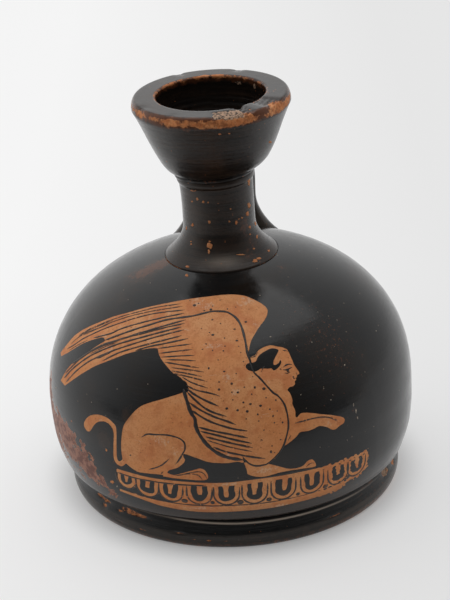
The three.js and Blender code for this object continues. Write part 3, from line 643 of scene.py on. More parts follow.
def body_clay(turn, radius, height):
    """Signed distance into the clear clay, over the front of the wall."""
    clay = np.full(turn.shape, -9.0)
    painted = (WALL_ROWS, slice(0, len(front)))
    lengths = np.interp(height[painted], WALL_Z, WALL_S)
    clay[painted] = reserved(turn[painted].ravel(), lengths.ravel()).reshape(lengths.shape)
    return clay


def patch(turn, height, pixels, width, tall):
    """How near each vertex is to a mark read off the photo: 1 at its middle, 0 away from it."""
    p = on_pot([pixels])[0]
    across = apart(turn, math.atan2(p[0], -p[1])) * math.hypot(p[0], p[1])
    return np.exp(-(across / width) ** 2 - ((height - p[2]) / tall) ** 2)


def patches(turn, height, marks):
    """Marks read off the photo, added up."""
    return sum(strength * patch(turn, height, *mark) for strength, *mark in marks)


def marked(marks):
    """A field of wear that is nothing but marks read off the photo."""
    return lambda turn, radius, height: patches(turn, height, marks)


# Marks read off the photo: strength, photo pixel, half width and half height in millimetres. On the body:
# brown speckles, thin brownish gloss, scuffs and brown smears beside the collar.
SPECKLED = [(1.0, (330, 345), 9, 8), (0.8, (112, 455), 4, 6), (0.4, (165, 275), 6, 2)]
BROWNED = [(1.0, (104, 440), 2.2, 3), (1.0, (127, 414), 1.6, 2), (0.9, (150, 268), 5, 1.6),
           (0.6, (118, 300), 5, 3)]
SCUFFED = [(0.42, (355, 411), 1.2, 2.4), (0.4, (86, 486), 3, 1.2)]
SMEARED = [(0.85, (156, 266), 2.6, 2.6), (0.45, (281, 267), 2.2, 0.6)]
# On the neck and the cup: painted highlights on the collar's front and the neck's left, the rubbed side of
# the neck, a painted sheen on the cup's left
COLLAR_PAINTED_SHEEN = [(0.24, (222, 262), 3.4, 0.9), (0.05, (194, 214), 2.4, 6)]
NECK_RUBBED = [(0.52, (243, 223), 2.4, 2.4), (0.36, (250, 240), 2, 3), (0.36, (246, 256), 3, 1.4)]
CUP_PAINTED_SHEEN = [(0.02, (158, 136), 5, 3)]
# Pale crust on the figure: photo pixel, half width and half height in millimetres
CRUSTS = [((197, 303.5), 1.6, 0.8), ((170, 312), 0.9, 0.5), ((104, 335), 1.8, 0.6), ((111, 348), 2.0, 0.7),
          ((150, 340), 1.0, 0.6), ((247, 301), 2.6, 0.8), ((257, 326), 1.0, 0.9), ((101, 419.5), 0.6, 0.6),
          ((210, 306), 1.2, 0.5), ((213, 346), 2.6, 0.5), ((228, 378), 1.6, 1.0), ((265, 470), 3.4, 1.0),
          ((330, 424), 1.8, 0.8), ((236, 392), 1.2, 0.7), ((160, 440), 2.4, 1.4), ((226, 484), 5.0, 0.6),
          ((200, 508), 6.0, 0.5), ((283, 505), 4.0, 0.6), ((175, 452), 1.4, 0.8), ((225, 455), 2.0, 0.6)]
# Streaks where the gloss misfired red and flaked, in photo pixels, and how far from them red is worked out
RED_STREAK = [(58, 404), (60.5, 414), (69.5, 422.9), (73.9, 430.9), (76.6, 442.5), (83.8, 443.4),
              (90, 451.4), (96.3, 463.9), (98.9, 473.8), (107, 482.7), (115, 492.5), (120.4, 498.8),
              (114.1, 497), (105.2, 489.8), (98, 484.5), (90, 480.9), (83.8, 473.8), (75.7, 464.8),
              (69.5, 455.9), (62.3, 442.5), (57.5, 433.6), (54.5, 422.9), (53, 410)]
RED_SIDE = [(47.2, 372), (51, 372), (53, 389), (54, 402), (57, 414), (54, 420), (50.2, 410), (47.4, 394)]
RED_REACH, LEFT_SIDE = 3.0, -1.42


def body_red(turn, radius, height):
    """Signed distance in millimetres into the misfired streaks."""
    lengths = np.interp(height, WALL_Z, WALL_S)
    red = np.full(turn.size, -RED_REACH)
    for streak in (RED_STREAK, RED_SIDE):
        outline = on_wall(flow(streak))
        red = np.maximum(red, depth_inside(outline, turn.ravel(), lengths.ravel(), radius.ravel()))
    red = np.clip(red, -RED_REACH, RED_REACH).reshape(turn.shape)
    behind = 2.9 * bump(np.abs(turn), 2.5, 0.45) * bump(height, 12 + 5 * np.sin(turn * 3), 4) - RED_REACH
    past_side = apart(turn, LEFT_SIDE)
    side_end = 2.8 - 5.0 * np.hypot((past_side + 0.02 * (height - 11.0)) / 0.62, (height - 10.0) / 15.0)
    on_the_wall = np.full(turn.shape, -RED_REACH)
    on_the_wall[WALL_ROWS] = np.maximum(red, np.maximum(behind, side_end))[WALL_ROWS]
    return on_the_wall


def body_mottle(turn, radius, height):
    """Where the gloss is finely speckled with brown."""
    return patches(turn, height, SPECKLED) + 0.5 * bump(np.abs(turn), math.pi, 1.0)


def body_brown(turn, radius, height):
    """Where the gloss is thin and brownish, and near the bottom, where the band's clay is darker, partly
    dirt and partly painted shade.
    """
    back = 0.5 * bump(np.abs(turn), math.pi, 0.9) * bump(height, 20, 12)
    return patches(turn, height, BROWNED) + 1.05 * bump(height, 0.0, 4.2) + back


def body_worn(turn, radius, height):
    """Where the gloss is worn through to the clay."""
    ring = 0.25 * bump(radius, COLLAR_RADIUS + 0.2, 0.5) * (height > 42)
    return ring + patches(turn, height, SCUFFED) + 0.3 * bump(height, 0.2, 0.8)


body = turned("body_painted", BODY_PROFILE, TURNS,
              {"clay": body_clay, "red": body_red, "worn": body_worn, "mottle": body_mottle,
               "brown": body_brown, "pale": marked([(1.0, *crust) for crust in CRUSTS]),
               "thin": marked(SMEARED)},
              loop=False, shape=body_shape, capped=True)

# Neck, mouth and foot, with chips where the photo has them
ROUND = round_about(180)
SPIGOT_BOTTOM, SPIGOT_RADIUS, SOCKET_DEPTH, NECK_SKIN = 40.1, 6.4, 0.4, 6.3
neck_seat = [(SPIGOT_RADIUS, SPIGOT_BOTTOM), (SPIGOT_RADIUS, NECK_BASE - SOCKET_DEPTH),
             (COLLAR_RADIUS - 0.5, NECK_BASE - SOCKET_DEPTH)]
neck_bore = [(6.2, NECK_TOP + 0.2), (NECK_BORE_RADIUS, NECK_TOP), (NECK_BORE_RADIUS, 52),
             (NECK_BORE_RADIUS, SPIGOT_BOTTOM)]
NECK_PROFILE = np.concatenate([neck_seat, spaced(NECK_OUT, 0.22), neck_bore])


def collar_side(turn):
    """1 on the two stretches of the collar whose edge shows clay."""
    return between(turn, -1.55, -0.72, 0.06) + between(turn, 0.5, 1.5, 0.06)


def neck_worn(turn, radius, height):
    """Clay along the collar's edge and on the ring under the cup."""
    collar_edge = bump(height, NECK_BASE + 0.1, 0.42) * collar_side(turn) * 0.72
    return collar_edge + 0.12 * bump(height, NECK_TOP - 0.9, 0.5)


def brownish(turn, radius, height):
    """Brown streaks left by the brush and the wheel."""
    streak = 0.5 + 0.3 * np.sin(height * 1.9 + 1.3 * np.sin(turn)) + 0.2 * np.sin(height * 4.7 + turn)
    return 0.55 + 0.45 * streak


def neck_spread(turn, height):
    """How far the neck's top spreads, and sinks, to the left under the cup."""
    rise = np.clip((height - NECK_TOP + NECK_SPREAD_LENGTH) / NECK_SPREAD_LENGTH, 0, 1)
    return NECK_SPREAD * rise ** 2 * to_left(turn)


def neck_shape(turn, radius, height):
    """The thrown neck's unevenness and the spread of its outside."""
    top = neck_spread(turn, height) * (radius > NECK_SKIN)
    return radius + 0.6 * wobble(turn, height) + top, height - top


neck = turned("neck_thrown", NECK_PROFILE, ROUND,
              {"worn": neck_worn, "brown": brownish, "wear_and_sheen": marked(COLLAR_PAINTED_SHEEN),
               "thin": marked(NECK_RUBBED)}, shape=neck_shape)

cup_in = bezier([(HOLE_RADIUS, POT_TOP - 0.25), (12.2, POT_TOP - 5.1), (10.0, MOUTH_BASE + 2.8),
                 (NECK_BORE_RADIUS, MOUTH_BASE + 2.0)], 40)
lip_flat = spaced([(LIP_RADIUS - LIP_ROUNDING, POT_TOP), (HOLE_RADIUS + 0.35, POT_TOP)], 0.3)
MOUTH_SOCKET_BOTTOM, MOUTH_SOCKET_RADIUS = 59.8, 5.6
mouth_seat = [(NECK_BORE_RADIUS, MOUTH_SOCKET_BOTTOM), (MOUTH_SOCKET_RADIUS, MOUTH_SOCKET_BOTTOM),
              (MOUTH_SOCKET_RADIUS, MOUTH_BASE - 0.3), (7.9, MOUTH_BASE - 0.3)]
MOUTH_PROFILE = np.concatenate([mouth_seat, cup_out, lip_edge[1:], lip_flat[1:], spaced(cup_in, 0.3)])

# Chips of the lip: a photo pixel, or behind a turn, half width in radians, depth
LIP_CHIPS = [((229, 121), 0.14, 0.30), ((246, 117), 0.10, 0.35), ((276, 104), 0.12, 0.40),
             ((139, 112), 0.10, 0.25), ((170, 122), 0.08, 0.15)]
BACK_CHIPS = [(2.75, 0.07, 0.35), (-2.7, 0.06, 0.35)]
CHIP_TURNS = [(turn_of(on_pot([pixels]))[0], width, deep) for pixels, width, deep in LIP_CHIPS] + BACK_CHIPS
# Broken stretches of the lip's flat top, each between two photo pixels, and a bite in its inner edge
PALE_BREAK = ((214, 126), (246, 121))
DARK_BREAKS = (((240, 121), (256, 116)), ((268, 110), (283, 102)))
LIP_BITE = (250, 119)
# Radius inside which the cup's hollow is met
CUP_HOLLOW = 12


def lip_loss(turn, radius, height):
    """How deep the chips of the lip's edge are."""
    loss = np.zeros(turn.shape)
    for place, width, deep in CHIP_TURNS:
        loss += deep * bump(apart(turn, place), 0, width)
    edge = np.clip((radius - 13.2) / 2.0, 0, 1) * np.clip((height - (POT_TOP - 3.0)) / 2.0, 0, 1)
    return loss * edge


def lip_break(turn, radius, height, ends):
    """1 inside a broken stretch of the lip's flat top, fading at its ends."""
    start, end = turn_of(on_pot(ends))
    inside = between(turn, start, end, 0.018) * (height > POT_TOP - 1.6)
    return inside * np.clip((radius - HOLE_RADIUS) / 0.4, 0, 1) * np.clip((15.7 - radius) / 0.3, 0, 1)


def pale_break(turn, radius, height):
    """The pale broken stretch in front, and two pale spots inside the cup."""
    spots = bump(turn, 2.61, 0.07) * bump(height, POT_TOP - 1.5, 0.45)
    spots = spots + 0.9 * bump(turn, 2.24, 0.04) * bump(height, POT_TOP - 1.6, 0.7)
    broken = lip_break(turn, radius, height, PALE_BREAK) * np.clip((radius - 12.2) / 0.5, 0, 1)
    return broken + 0.9 * spots * (radius < CUP_HOLLOW)


def dark_break(turn, radius, height):
    """The dark broken stretches at the right."""
    return sum(lip_break(turn, radius, height, ends) for ends in DARK_BREAKS)


def mouth_shape(turn, radius, height):
    """The thrown cup's unevenness and ridges, its chips, breaks and bite, and its lower end's dip."""
    loss = lip_loss(turn, radius, height)
    uneven = 0.5 * wobble(turn, height)
    broken = np.clip(pale_break(turn, radius, height) + dark_break(turn, radius, height), 0, 1)
    pits = (np.clip(loss * 2, 0, 1) + 1.2 * broken) * 0.10 * rough(turn, radius, height)
    bite = 0.9 * bump(turn, turn_of(on_pot([LIP_BITE]))[0], 0.07)
    bite = bite * np.clip((12.4 - radius) / 1.2, 0, 1) * (height > POT_TOP - 1.5)
    inside = (radius < 11.6) & (height < POT_TOP - 0.6) & (height > MOUTH_BASE + 2)
    ridges = np.where(inside, 0.03 * np.sin(height * 5.2 + 0.3 * turn) + 0.02 * np.sin(height * 9.1), 0.0)
    dip = np.clip(1 - (height - MOUTH_BASE) / 4.0, 0, 1) ** 2 * (radius > 7) * to_left(turn)
    radius = radius + uneven + ridges - loss * 0.7 + pits + bite * 0.8 + 0.4 * dip
    return radius, height - loss * 0.5 + pits - 0.22 * broken - 0.5 * bite - 0.6 * dip


def mouth_worn(turn, radius, height):
    """Clay along the lip's outer edge, along the hole's edge and in the chips."""
    strength = 0.66 + 0.16 * bump(turn, -0.5, 0.35) + 0.34 * bump(turn, 0.12, 0.34)
    strength = strength + 0.32 * bump(turn, 1.15, 0.26)
    strength = strength - 0.16 * bump(turn, 0.55, 0.14) - 0.08 * bump(turn, -1.2, 0.25)
    edge_height = POT_TOP - 1.2 - 0.2 * np.sin(turn * 2 + 0.5)
    edge = strength * bump(radius, LIP_RADIUS - 0.1, 0.8) * bump(height, edge_height, 1.1)
    back = 0.5 - 0.5 * np.cos(turn)
    left = bump(turn, -1.3, 0.9)
    rim_chip = 0.7 * bump(np.abs(turn), 3.02, 0.10) * bump(radius, HOLE_RADIUS + 0.4, 0.5)
    rim_chip = rim_chip * bump(height, POT_TOP, 0.5)
    hole_edge = (0.42 + 0.48 * back + 0.30 * left) * bump(radius, HOLE_RADIUS + 0.18, 0.30)
    hole_edge = hole_edge * bump(height, POT_TOP - 0.15, 0.55)
    inside = 0.3 * bump(height, POT_TOP - 1.4, 0.9) * (radius < CUP_HOLLOW) * back + rim_chip
    chips = 0.4 * np.clip(lip_loss(turn, radius, height) * 4, 0, 1)
    chips = chips + 0.25 * dark_break(turn, radius, height)
    return edge + hole_edge + inside + chips + 0.2 * bump(height, MOUTH_BASE, 0.4)


def mouth_thin(turn, radius, height):
    """Where the gloss of the lip is rubbed thin and brown."""
    front_side = 0.5 + 0.5 * np.cos(turn)
    lip = 0.36 + 0.60 * front_side + 0.25 * bump(turn, -0.6, 0.5) + 0.30 * bump(turn, 0.6, 0.25)
    lip = lip * bump(radius, LIP_RADIUS - 0.3, 1.0) * bump(height, POT_TOP - 1.0, 1.5)
    rim = 0.9 - 0.35 * front_side + 0.3 * bump(turn, -1.3, 0.8)
    rim = rim * bump(radius, HOLE_RADIUS + 0.2, 0.45) * bump(height, POT_TOP - 0.4, 1.0)
    return lip + rim


def mouth_brown(turn, radius, height):
    """Brush streaks on the cup, fainter than on the neck."""
    return brownish(turn, radius, height) - 0.25


def mouth_painted_sheen(turn, radius, height):
    """A faint painted sheen on the cup's left side."""
    return patches(turn, height, CUP_PAINTED_SHEEN) * (radius > HOLE_RADIUS)


mouth = turned("mouth_thrown", MOUTH_PROFILE, round_about(360),
               {"worn": mouth_worn, "pale": pale_break, "brown": mouth_brown, "thin": mouth_thin,
                "wear_and_sheen": mouth_painted_sheen}, shape=mouth_shape)

stand_inner, HOLLOW_HEIGHT = FOOT_STAND_RADIUS - FOOT_STAND_WIDTH, 3.4
foot_inner_top = [(FOOT_BORE_RADIUS, FOOT_HEIGHT), (30.0, FOOT_HEIGHT)]
foot_hollow = [(stand_inner, 0), (stand_inner - 0.6, 0.6), (stand_inner - 2.4, HOLLOW_HEIGHT),
               (FOOT_BORE_RADIUS, HOLLOW_HEIGHT)]
FOOT_PROFILE = np.concatenate([foot_inner_top, FOOT_OUT, foot_hollow])
# Chips of the foot: a photo pixel, half width in radians, half height, depth. One is the broken end.
FOOT_CHIPS = [((100, 496), 0.030, 0.35, 0.4), ((106, 500.5), 0.045, 0.32, 0.35),
              ((104.5, 505.5), 0.02, 0.6, 0.28), ((119.5, 511), 0.022, 0.32, 0.22),
              ((128, 511), 0.05, 0.5, 0.42), ((138, 515.5), 0.06, 0.35, 0.4),
              ((179.5, 533.2), 0.05, 0.2, 0.2), ((385, 472), 0.035, 0.6, 0.5),
              ((142, 529.8), 0.03, 0.22, 0.2), ((120, 521.6), 0.04, 0.2, 0.2), ((393, 462), 0.03, 0.5, 0.3),
              ((295, 511.5), 0.04, 0.2, 0.15), ((194, 539.6), 0.018, 0.16, 0.2),
              ((209, 541), 0.018, 0.22, 0.24), ((227, 541.4), 0.018, 0.15, 0.2),
              ((334, 516), 0.06, 0.2, 0.2)]
BROKEN_END = 7
# Radii outside which the foot's gloss, its sides and its bulge are met
FOOT_SKIN, FOOT_SIDE, FOOT_BULGE = 32.6, 33, 34
FOOT_PLACES = on_foot([chip[0] for chip in FOOT_CHIPS])
# The rubbed upper edge of the foot, with a painted highlight along it: its height at some turns
EDGE_TURNS = [-0.85, -0.4, -0.2, 0.0, 0.25, 0.6, 1.0]
EDGE_HEIGHTS = [5.75, 5.7, 5.55, 5.42, 5.38, 5.34, 5.15]


def foot_loss(turn, radius, height):
    """How deep the chips of the foot are."""
    loss = np.zeros(turn.shape)
    for (place, high), (_, width, tall, deep) in zip(FOOT_PLACES, FOOT_CHIPS):
        loss += deep * bump(apart(turn, place), 0, width) * bump(height, high, tall)
    return loss * (radius > FOOT_SIDE)


def foot_shape(turn, radius, height):
    """The foot's chips and unevenness, and its top brought to the sloping joint."""
    loss = foot_loss(turn, radius, height)
    uneven = np.where(radius > FOOT_BULGE, 0.5 * wobble(turn, height), 0)
    slope = radius * np.sin(turn) * (math.tan(LEAN) - SEAT_SLOPE) * height / FOOT_HEIGHT
    return radius + uneven - loss * (0.75 + 0.35 * rough(turn, radius, height)), height + slope


def foot_worn(turn, radius, height):
    """Clay in the chips, along the standing edge and in streaks at the right."""
    chips = 0.72 * np.clip(foot_loss(turn, radius, height) * 5, 0, 1)
    streaks = 0.34 * bump(turn, 1.15, 0.4) * np.sin(height * 3.4) ** 2
    specks = 0.24 * bump(height, 2.2, 0.22) * bump(turn, -0.13, 0.12)
    specks = specks + 0.3 * bump(height, 1.9, 0.3) * bump(turn, 0.55, 0.4)
    return (chips + streaks + specks + 0.62 * bump(height, 0.35, 0.32)) * (radius > FOOT_SKIN)


def foot_pale(turn, radius, height):
    """The broken end of the foot at the right."""
    return 0.8 * bump(turn, FOOT_PLACES[BROKEN_END][0], 0.06) * bump(height, 4.6, 1.0) * (radius > FOOT_SIDE)


def foot_wear_and_sheen(turn, radius, height):
    """The rubbed upper edge at the front with a painted highlight along it, and a painted reflection of the
    floor on the lower half.
    """
    along_edge = between(turn, -0.85, 0.80, 0.06, 0.12)
    strength = 0.22 + 0.78 / (1 + np.exp(-(turn + 0.36) / 0.04)) - 0.5 * np.clip(turn - 0.3, 0, 1)
    edge_height = np.interp(turn, EDGE_TURNS, EDGE_HEIGHTS)
    edge = along_edge * strength * bump(height, edge_height, 0.15) * (radius > FOOT_TOP_RADIUS)
    return edge + 0.03 * np.clip((3.4 - height) / 0.3, 0, 1) * (radius > FOOT_SIDE)


def foot_brown(turn, radius, height):
    """Brown on the lower half and in streaks at the right."""
    streaks = 0.45 * bump(turn, 1.05, 0.45) * np.sin(height * 2.6 + 0.8) ** 2
    return 0.85 * np.clip((3.6 - height) / 0.6, 0, 1) + streaks - 0.25


def foot_thin(turn, radius, height):
    """Brown where the gloss is rubbed: the standing edge, and streaks at the right."""
    streaks = 0.42 * bump(turn, 0.95, 0.45) * np.sin(height * 3.1 + 0.4) ** 2
    return (0.56 * bump(height, 0.9, 0.65) + streaks) * (radius > FOOT_SKIN)


foot = turned("foot_thrown", FOOT_PROFILE[::-1], round_about(480),
              {"worn": foot_worn, "pale": foot_pale, "brown": foot_brown, "wear_and_sheen": foot_wear_and_sheen,
               "thin": foot_thin}, level=True, shape=foot_shape)


def no_slope(turn, radius):
    """A joint that lies level in the leaning frame."""
    return 0.0


def bead(name, radius, height, across, tall, shows, slope=no_slope, spread=0.0):
    """A bead of slip in a round joint. shows gives the clay that shows at each turn."""
    profile = arc((radius, height), (across, tall), 0, 330, 12)

    def uneven(turn, r, h):
        r = r + 0.06 * np.sin(7 * turn) * np.sin(3 * turn + 1) + 0.03 * np.sin(19 * turn)
        return r + spread * to_left(turn), h + slope(turn, r)

    def worn(turn, r, h):
        return shows(turn) * np.ones(h.shape)

    return turned(name, profile, ROUND, {"worn": worn}, shape=uneven)


foot_bead = bead("foot_joint_bead", 31.9, -0.38, 0.8, 0.42,
                 lambda turn: 0.15 + 0.1 * np.sin(turn * 2 + 1), seat)
neck_bead = bead("neck_joint_bead", COLLAR_RADIUS - 0.1, NECK_BASE - 0.02, 0.42, 0.28,
                 lambda turn: 0.1 + 0.75 * collar_side(turn))
mouth_bead = bead("mouth_joint_bead", 7.7, (NECK_TOP + MOUTH_BASE) / 2 - 0.05, 0.40, 0.5,
                  lambda turn: 0.24 + 0.16 * np.cos(turn * 3 + 0.6),
                  lambda turn, radius: -JOINT_DIP * to_left(turn), NECK_SPREAD)

# Strap handle, spreading into the neck and the shoulder
ROOT_DEPTH, END_RADIUS, STRAP_SIDES, STRAP_STEP, SECTION_POWER = 4.8, 20.8, 40, 0.45, 2.6
HALF_WIDTH, ROOT_NARROWING, END_FLARE = 7.3, 0.7, 2.15
HALF_THICKNESS, ROOT_SWELLING, END_SWELLING = 2.1, 0.9, 1.1
SLEW = math.radians(1.7)


def flattened(wave):
    """A sine or cosine made fuller, for a strap's rounded oblong section."""
    return np.sign(wave) * np.abs(wave) ** (2 / SECTION_POWER)


def strap():
    """The pulled strap, swept along its middle line."""
    root = NECK_TOP - ROOT_DEPTH
    end = float(np.interp(-END_RADIUS, -WALL_R[LOW_STEPS:], WALL_Z[LOW_STEPS:]))
    middle = flow([(5.6, root - 1.6), (11.65, root + 0.8), (15.9, root - 0.8),
                   (18.0, (root - 0.8 + end) / 2), (END_RADIUS, end), (21.5, end - 2.2)], STRAP_STEP)
    tangent = np.gradient(middle, axis=0)
    tangent /= np.linalg.norm(tangent, axis=1)[:, None]
    angle = np.linspace(0, 2 * math.pi, STRAP_SIDES, endpoint=False)
    flat_x, flat_y = flattened(np.cos(angle)), flattened(np.sin(angle))
    rows = []
    for index, (place, along) in enumerate(zip(middle, tangent)):
        share = index / (len(middle) - 1)
        upper = max(0.0, 1 - share / 0.34)
        lower = max(0.0, (share - 0.62) / 0.38)
        flare = max(0.0, (share - 0.6) / 0.3)
        half_wide = HALF_WIDTH - ROOT_NARROWING * upper ** 2 + END_FLARE * flare ** 2.5
        half_thick = HALF_THICKNESS + ROOT_SWELLING * upper ** 3 + END_SWELLING * lower ** 3
        pulled = 0.12 * np.cos(2 * angle) + 0.10 * np.sin(3 * flat_x * 2 + share * 5)
        out = np.array([along[1], -along[0]])
        x = half_wide * flat_x * (1 + 0.01 * np.sin(share * 17))
        rise = half_thick * flat_y * (1 - 0.10 * bump(flat_x, 0.0, 0.45)) + pulled * 0.5
        rows.append(np.stack([x, place[0] - out[0] * rise, place[1] - out[1] * rise], axis=1))
    x, y, z = np.moveaxis(np.array(rows[::-1]), -1, 0)
    turned_x = x * math.cos(SLEW) + y * math.sin(SLEW)
    turned_y = y * math.cos(SLEW) - x * math.sin(SLEW)
    local = np.stack([turned_x, turned_y, z], axis=-1).reshape(-1, 3)
    faces, uv = turned_faces(len(rows), STRAP_SIDES, False, True)
    worn = np.tile(0.08 + 0.24 * np.abs(flat_x) ** 6, len(rows))
    # A painted reflection, pale grey, on the face toward the neck near the strap's lower end
    neck_side = np.clip(-np.tile(flat_y, len(rows)), 0, 1)
    wear_and_sheen = 0.28 * bump(local[:, 2], end + 1.0, 4.0) * neck_side
    return make_mesh("strap_handle", to_world(local), faces, {"pot": local, "worn": worn, "wear_and_sheen": wear_and_sheen}, uv)


handle = strap()

# Relief lines and dots of thick gloss: heights of a line's edge, crest and hidden underside, and of an
# egg's line. Lines under a width are thinner gloss, and browner.
LINE_EDGE, LINE_CREST, LINE_UNDER, EGG_CREST = 0.008, 0.045, -0.06, 0.04
EGG_LINE_WIDTH, THIN_LINE, LINE_STEP, LINE_SHARES = 0.36, 0.31, 1.4, (1, 0.45, -0.45, -1, 0)
# A dot's rings: share of its size and height over the wall
DOT_SIDES, DOT_RINGS = 12, ((0.5, -0.05), (1.0, 0.01), (0.62, 0.05), (0.2, 0.06))


def ribbon(turns, lengths, width, crest):
    """Rows of a thin closed line that lies on the wall and tapers at its ends."""
    radius = wall_radius(lengths)
    across = np.gradient(turns) * radius
    up = np.gradient(lengths)
    size = np.maximum(np.hypot(across, up), 1e-6)
    along = np.concatenate([[0], np.cumsum(size)[:-1]])
    total = max(along[-1], 0.05)
    taper = np.minimum(along + 0.12, (total - along) * 0.7 + 0.10) / min(0.9, total / 2)
    waver = 1 + 0.13 * np.sin(along * 1.7 + rng.uniform(0, 6))
    waver = waver + 0.07 * np.sin(along * 5.3 + rng.uniform(0, 6))
    half = width / 2 * np.clip(taper, 0.3, 1.0) * waver
    side_turn, side_length = -up / size * half / radius, across / size * half
    rows = []
    for share, rise in zip(LINE_SHARES, (LINE_EDGE, crest, crest, LINE_EDGE, LINE_UNDER)):
        rows.append(wall_point(turns + side_turn * share, lengths + side_length * share, rise))
    return np.stack(rows, axis=1)


def egg_line(egg):
    """Turns and lengths along the line that runs round an egg, open at its top."""
    (top_turn, top_length), (bottom_turn, bottom_length) = egg
    radius = float(wall_radius(bottom_length))
    lean_x, lean_y = (top_turn - bottom_turn) * radius, top_length - bottom_length
    tall = math.hypot(lean_x, lean_y)
    lean_x, lean_y = lean_x / tall, lean_y / tall
    ring = EGG_RING + 0.04
    loop = arc((0.0, ring), (ring, ring), 180, 360, 16)
    loop = spaced(np.concatenate([[(-ring, tall - 0.2)], loop, [(ring, tall - 0.2)]]), 0.3)
    turns = bottom_turn + (loop[:, 0] * lean_y + loop[:, 1] * lean_x) / radius
    return turns, bottom_length - loop[:, 0] * lean_x + loop[:, 1] * lean_y


def dot(turn, length, size):
    """Rings of a small raised dot on the wall."""
    radius = float(wall_radius(length))
    angle = np.linspace(0, 2 * math.pi, DOT_SIDES, endpoint=False)
    wide, tall = size * rng.uniform(0.8, 1.25), size * rng.uniform(0.75, 1.1)
    rows = []
    for share, rise in DOT_RINGS:
        turns = turn + wide * share * np.cos(angle) / radius
        rows.append(wall_point(turns, length + tall * share * np.sin(angle), rise))
    return np.array(rows)


def painted_lines():
    """All the relief lines and dots as one mesh."""
    vertices, faces, thin = [], [], []

    def add(rows, tone):
        steps, sides = rows.shape[:2]
        faces.extend(tube_faces(sum(len(v) for v in vertices), steps, sides))
        vertices.append(rows.reshape(-1, 3))
        thin.append(np.full(steps * sides, tone))

    for width, points in LINES:
        path = on_wall(flow(points, LINE_STEP))
        tone = rng.uniform(0.5, 1.0) if width < THIN_LINE else rng.uniform(0.0, 0.35)
        add(ribbon(path[:, 0], path[:, 1], width, LINE_CREST), tone)
    for egg in EGGS:
        add(ribbon(*egg_line(egg), EGG_LINE_WIDTH, EGG_CREST), rng.uniform(0.0, 0.5))
    places = [(place, 0.13 + 0.17 * rng.uniform(0, 1) ** 2) for place in on_wall(DOTS)]
    for first, second in zip(EGGS[FILLED_FROM_EGG:], EGGS[FILLED_FROM_EGG + 1:]):
        places.append(((first[1] + second[1]) / 2 + (0, 0.55), rng.uniform(0.48, 0.70)))
    for (turn, length), size in places:
        add(dot(turn, length, size), rng.uniform(0, 0.8))
    local = np.concatenate(vertices)
    return make_mesh("relief_lines", to_world(local), faces, {"pot": local, "thin": np.concatenate(thin)})


lines = painted_lines()

# Bare flecks, most on the neck and cup, then pale grit on the body: place and half size in photo pixels
FLECKS = [(194, 190.1, 4, 1), (197.5, 198.9, 1.2, 1.4), (203.3, 201.7, 1.2, 1.1), (208.1, 202.4, 0.8, 0.7),
          (192.3, 201.4, 0.9, 0.9), (248.6, 182, 1.4, 3.4), (248.6, 204.9, 1.5, 2.6),
          (247.5, 213.6, 1.6, 2.2), (209.3, 222, 1.5, 1.8), (192.5, 224.8, 1.3, 2.2),
          (186.4, 228.1, 0.8, 2.2), (209.6, 241.5, 1, 0.9), (209.6, 246.3, 2.8, 2.9),
          (208.8, 252, 1.3, 2.2), (236.3, 222.2, 1.3, 2.2), (238.6, 219, 0.6, 0.7),
          (241.7, 217.7, 0.9, 0.9), (249.6, 227.3, 1.2, 1.8), (250, 234.3, 0.9, 0.8),
          (255.4, 223.5, 1, 1.8), (229.2, 221.5, 1, 0.9), (230.5, 208.9, 0.7, 0.7), (257, 237.2, 1, 2.2),
          (268.6, 250.9, 1.5, 1.3), (255.2, 260.9, 2.8, 1.8), (258.8, 258.4, 2.2, 1.2),
          (240.4, 254.6, 4.6, 0.7), (253.7, 248.8, 1.2, 1), (187.4, 266.8, 1.9, 1.3),
          (186.7, 275.5, 1.9, 1.4), (190.8, 241.5, 0.8, 0.7), (191, 244.3, 0.8, 0.9),
          (270.4, 142.1, 1.6, 1.3), (219.8, 134.1, 1.2, 0.7), (106.5, 450, 1, 1.2),
          (111.9, 482.2, 1.6, 1.6), (229, 133.5, 1.2, 0.7)]
GRIT = [(56.3, 387.9, 0.6, 0.7), (117.4, 388.8, 0.6, 0.6), (117.2, 486.3, 0.8, 0.9),
        (312.2, 342.4, 0.6, 0.6), (296.9, 346.5, 0.5, 0.5), (270.6, 336.9, 1.0, 0.6),
        (353.5, 405, 0.5, 1.8), (356, 411, 0.6, 2.4), (357.6, 418, 0.5, 1.5), (301, 395, 0.5, 0.5),
        (376, 331, 0.6, 0.5), (318, 312, 0.4, 0.4), (284, 325, 0.4, 0.4), (333, 395, 0.4, 0.4),
        (365, 372, 0.4, 0.4), (128, 300, 0.4, 0.4), (150, 283, 0.4, 0.4), (176, 290, 0.4, 0.4),
        (92, 402, 0.4, 0.4), (148, 384, 0.4, 0.4), (320, 447, 0.5, 0.4), (347, 440, 0.4, 0.4),
        (331, 400, 0.6, 0.5), (345, 365, 0.6, 0.9), (324, 389, 0.5, 0.5)]
# A flake's rings: share of its size and height over the wall, and how ragged each kind is
FLAKE_SIDES, FLAKE_RINGS = 11, ((0.6, -0.05), (1.0, 0.01), (0.7, 0.035))
FLECK_RAGGED, GRIT_RAGGED = 0.35, 0.3


def skin_radius(height):
    """Radius of the pot's outside at a height."""
    return np.interp(height, OUTSIDE[:, 1], OUTSIDE[:, 0])


def skin_point(turn, height, rise):
    """A place on the pot's outside, lifted by rise along the normal."""
    r = skin_radius(height)
    slope = (skin_radius(height + 0.3) - skin_radius(height - 0.3)) / 0.6
    size = np.hypot(slope, 1)
    r = r + np.where(height < SHOULDER_HEIGHT, wall_wobble(turn, r, height), 0.6 * wobble(turn, height))
    r = r + np.where(height < NECK_TOP, neck_spread(turn, height), 0.0)
    lifted = r + rise / size
    return np.stack([lifted * np.sin(turn), -lifted * np.cos(turn), height - rise * slope / size], axis=-1)


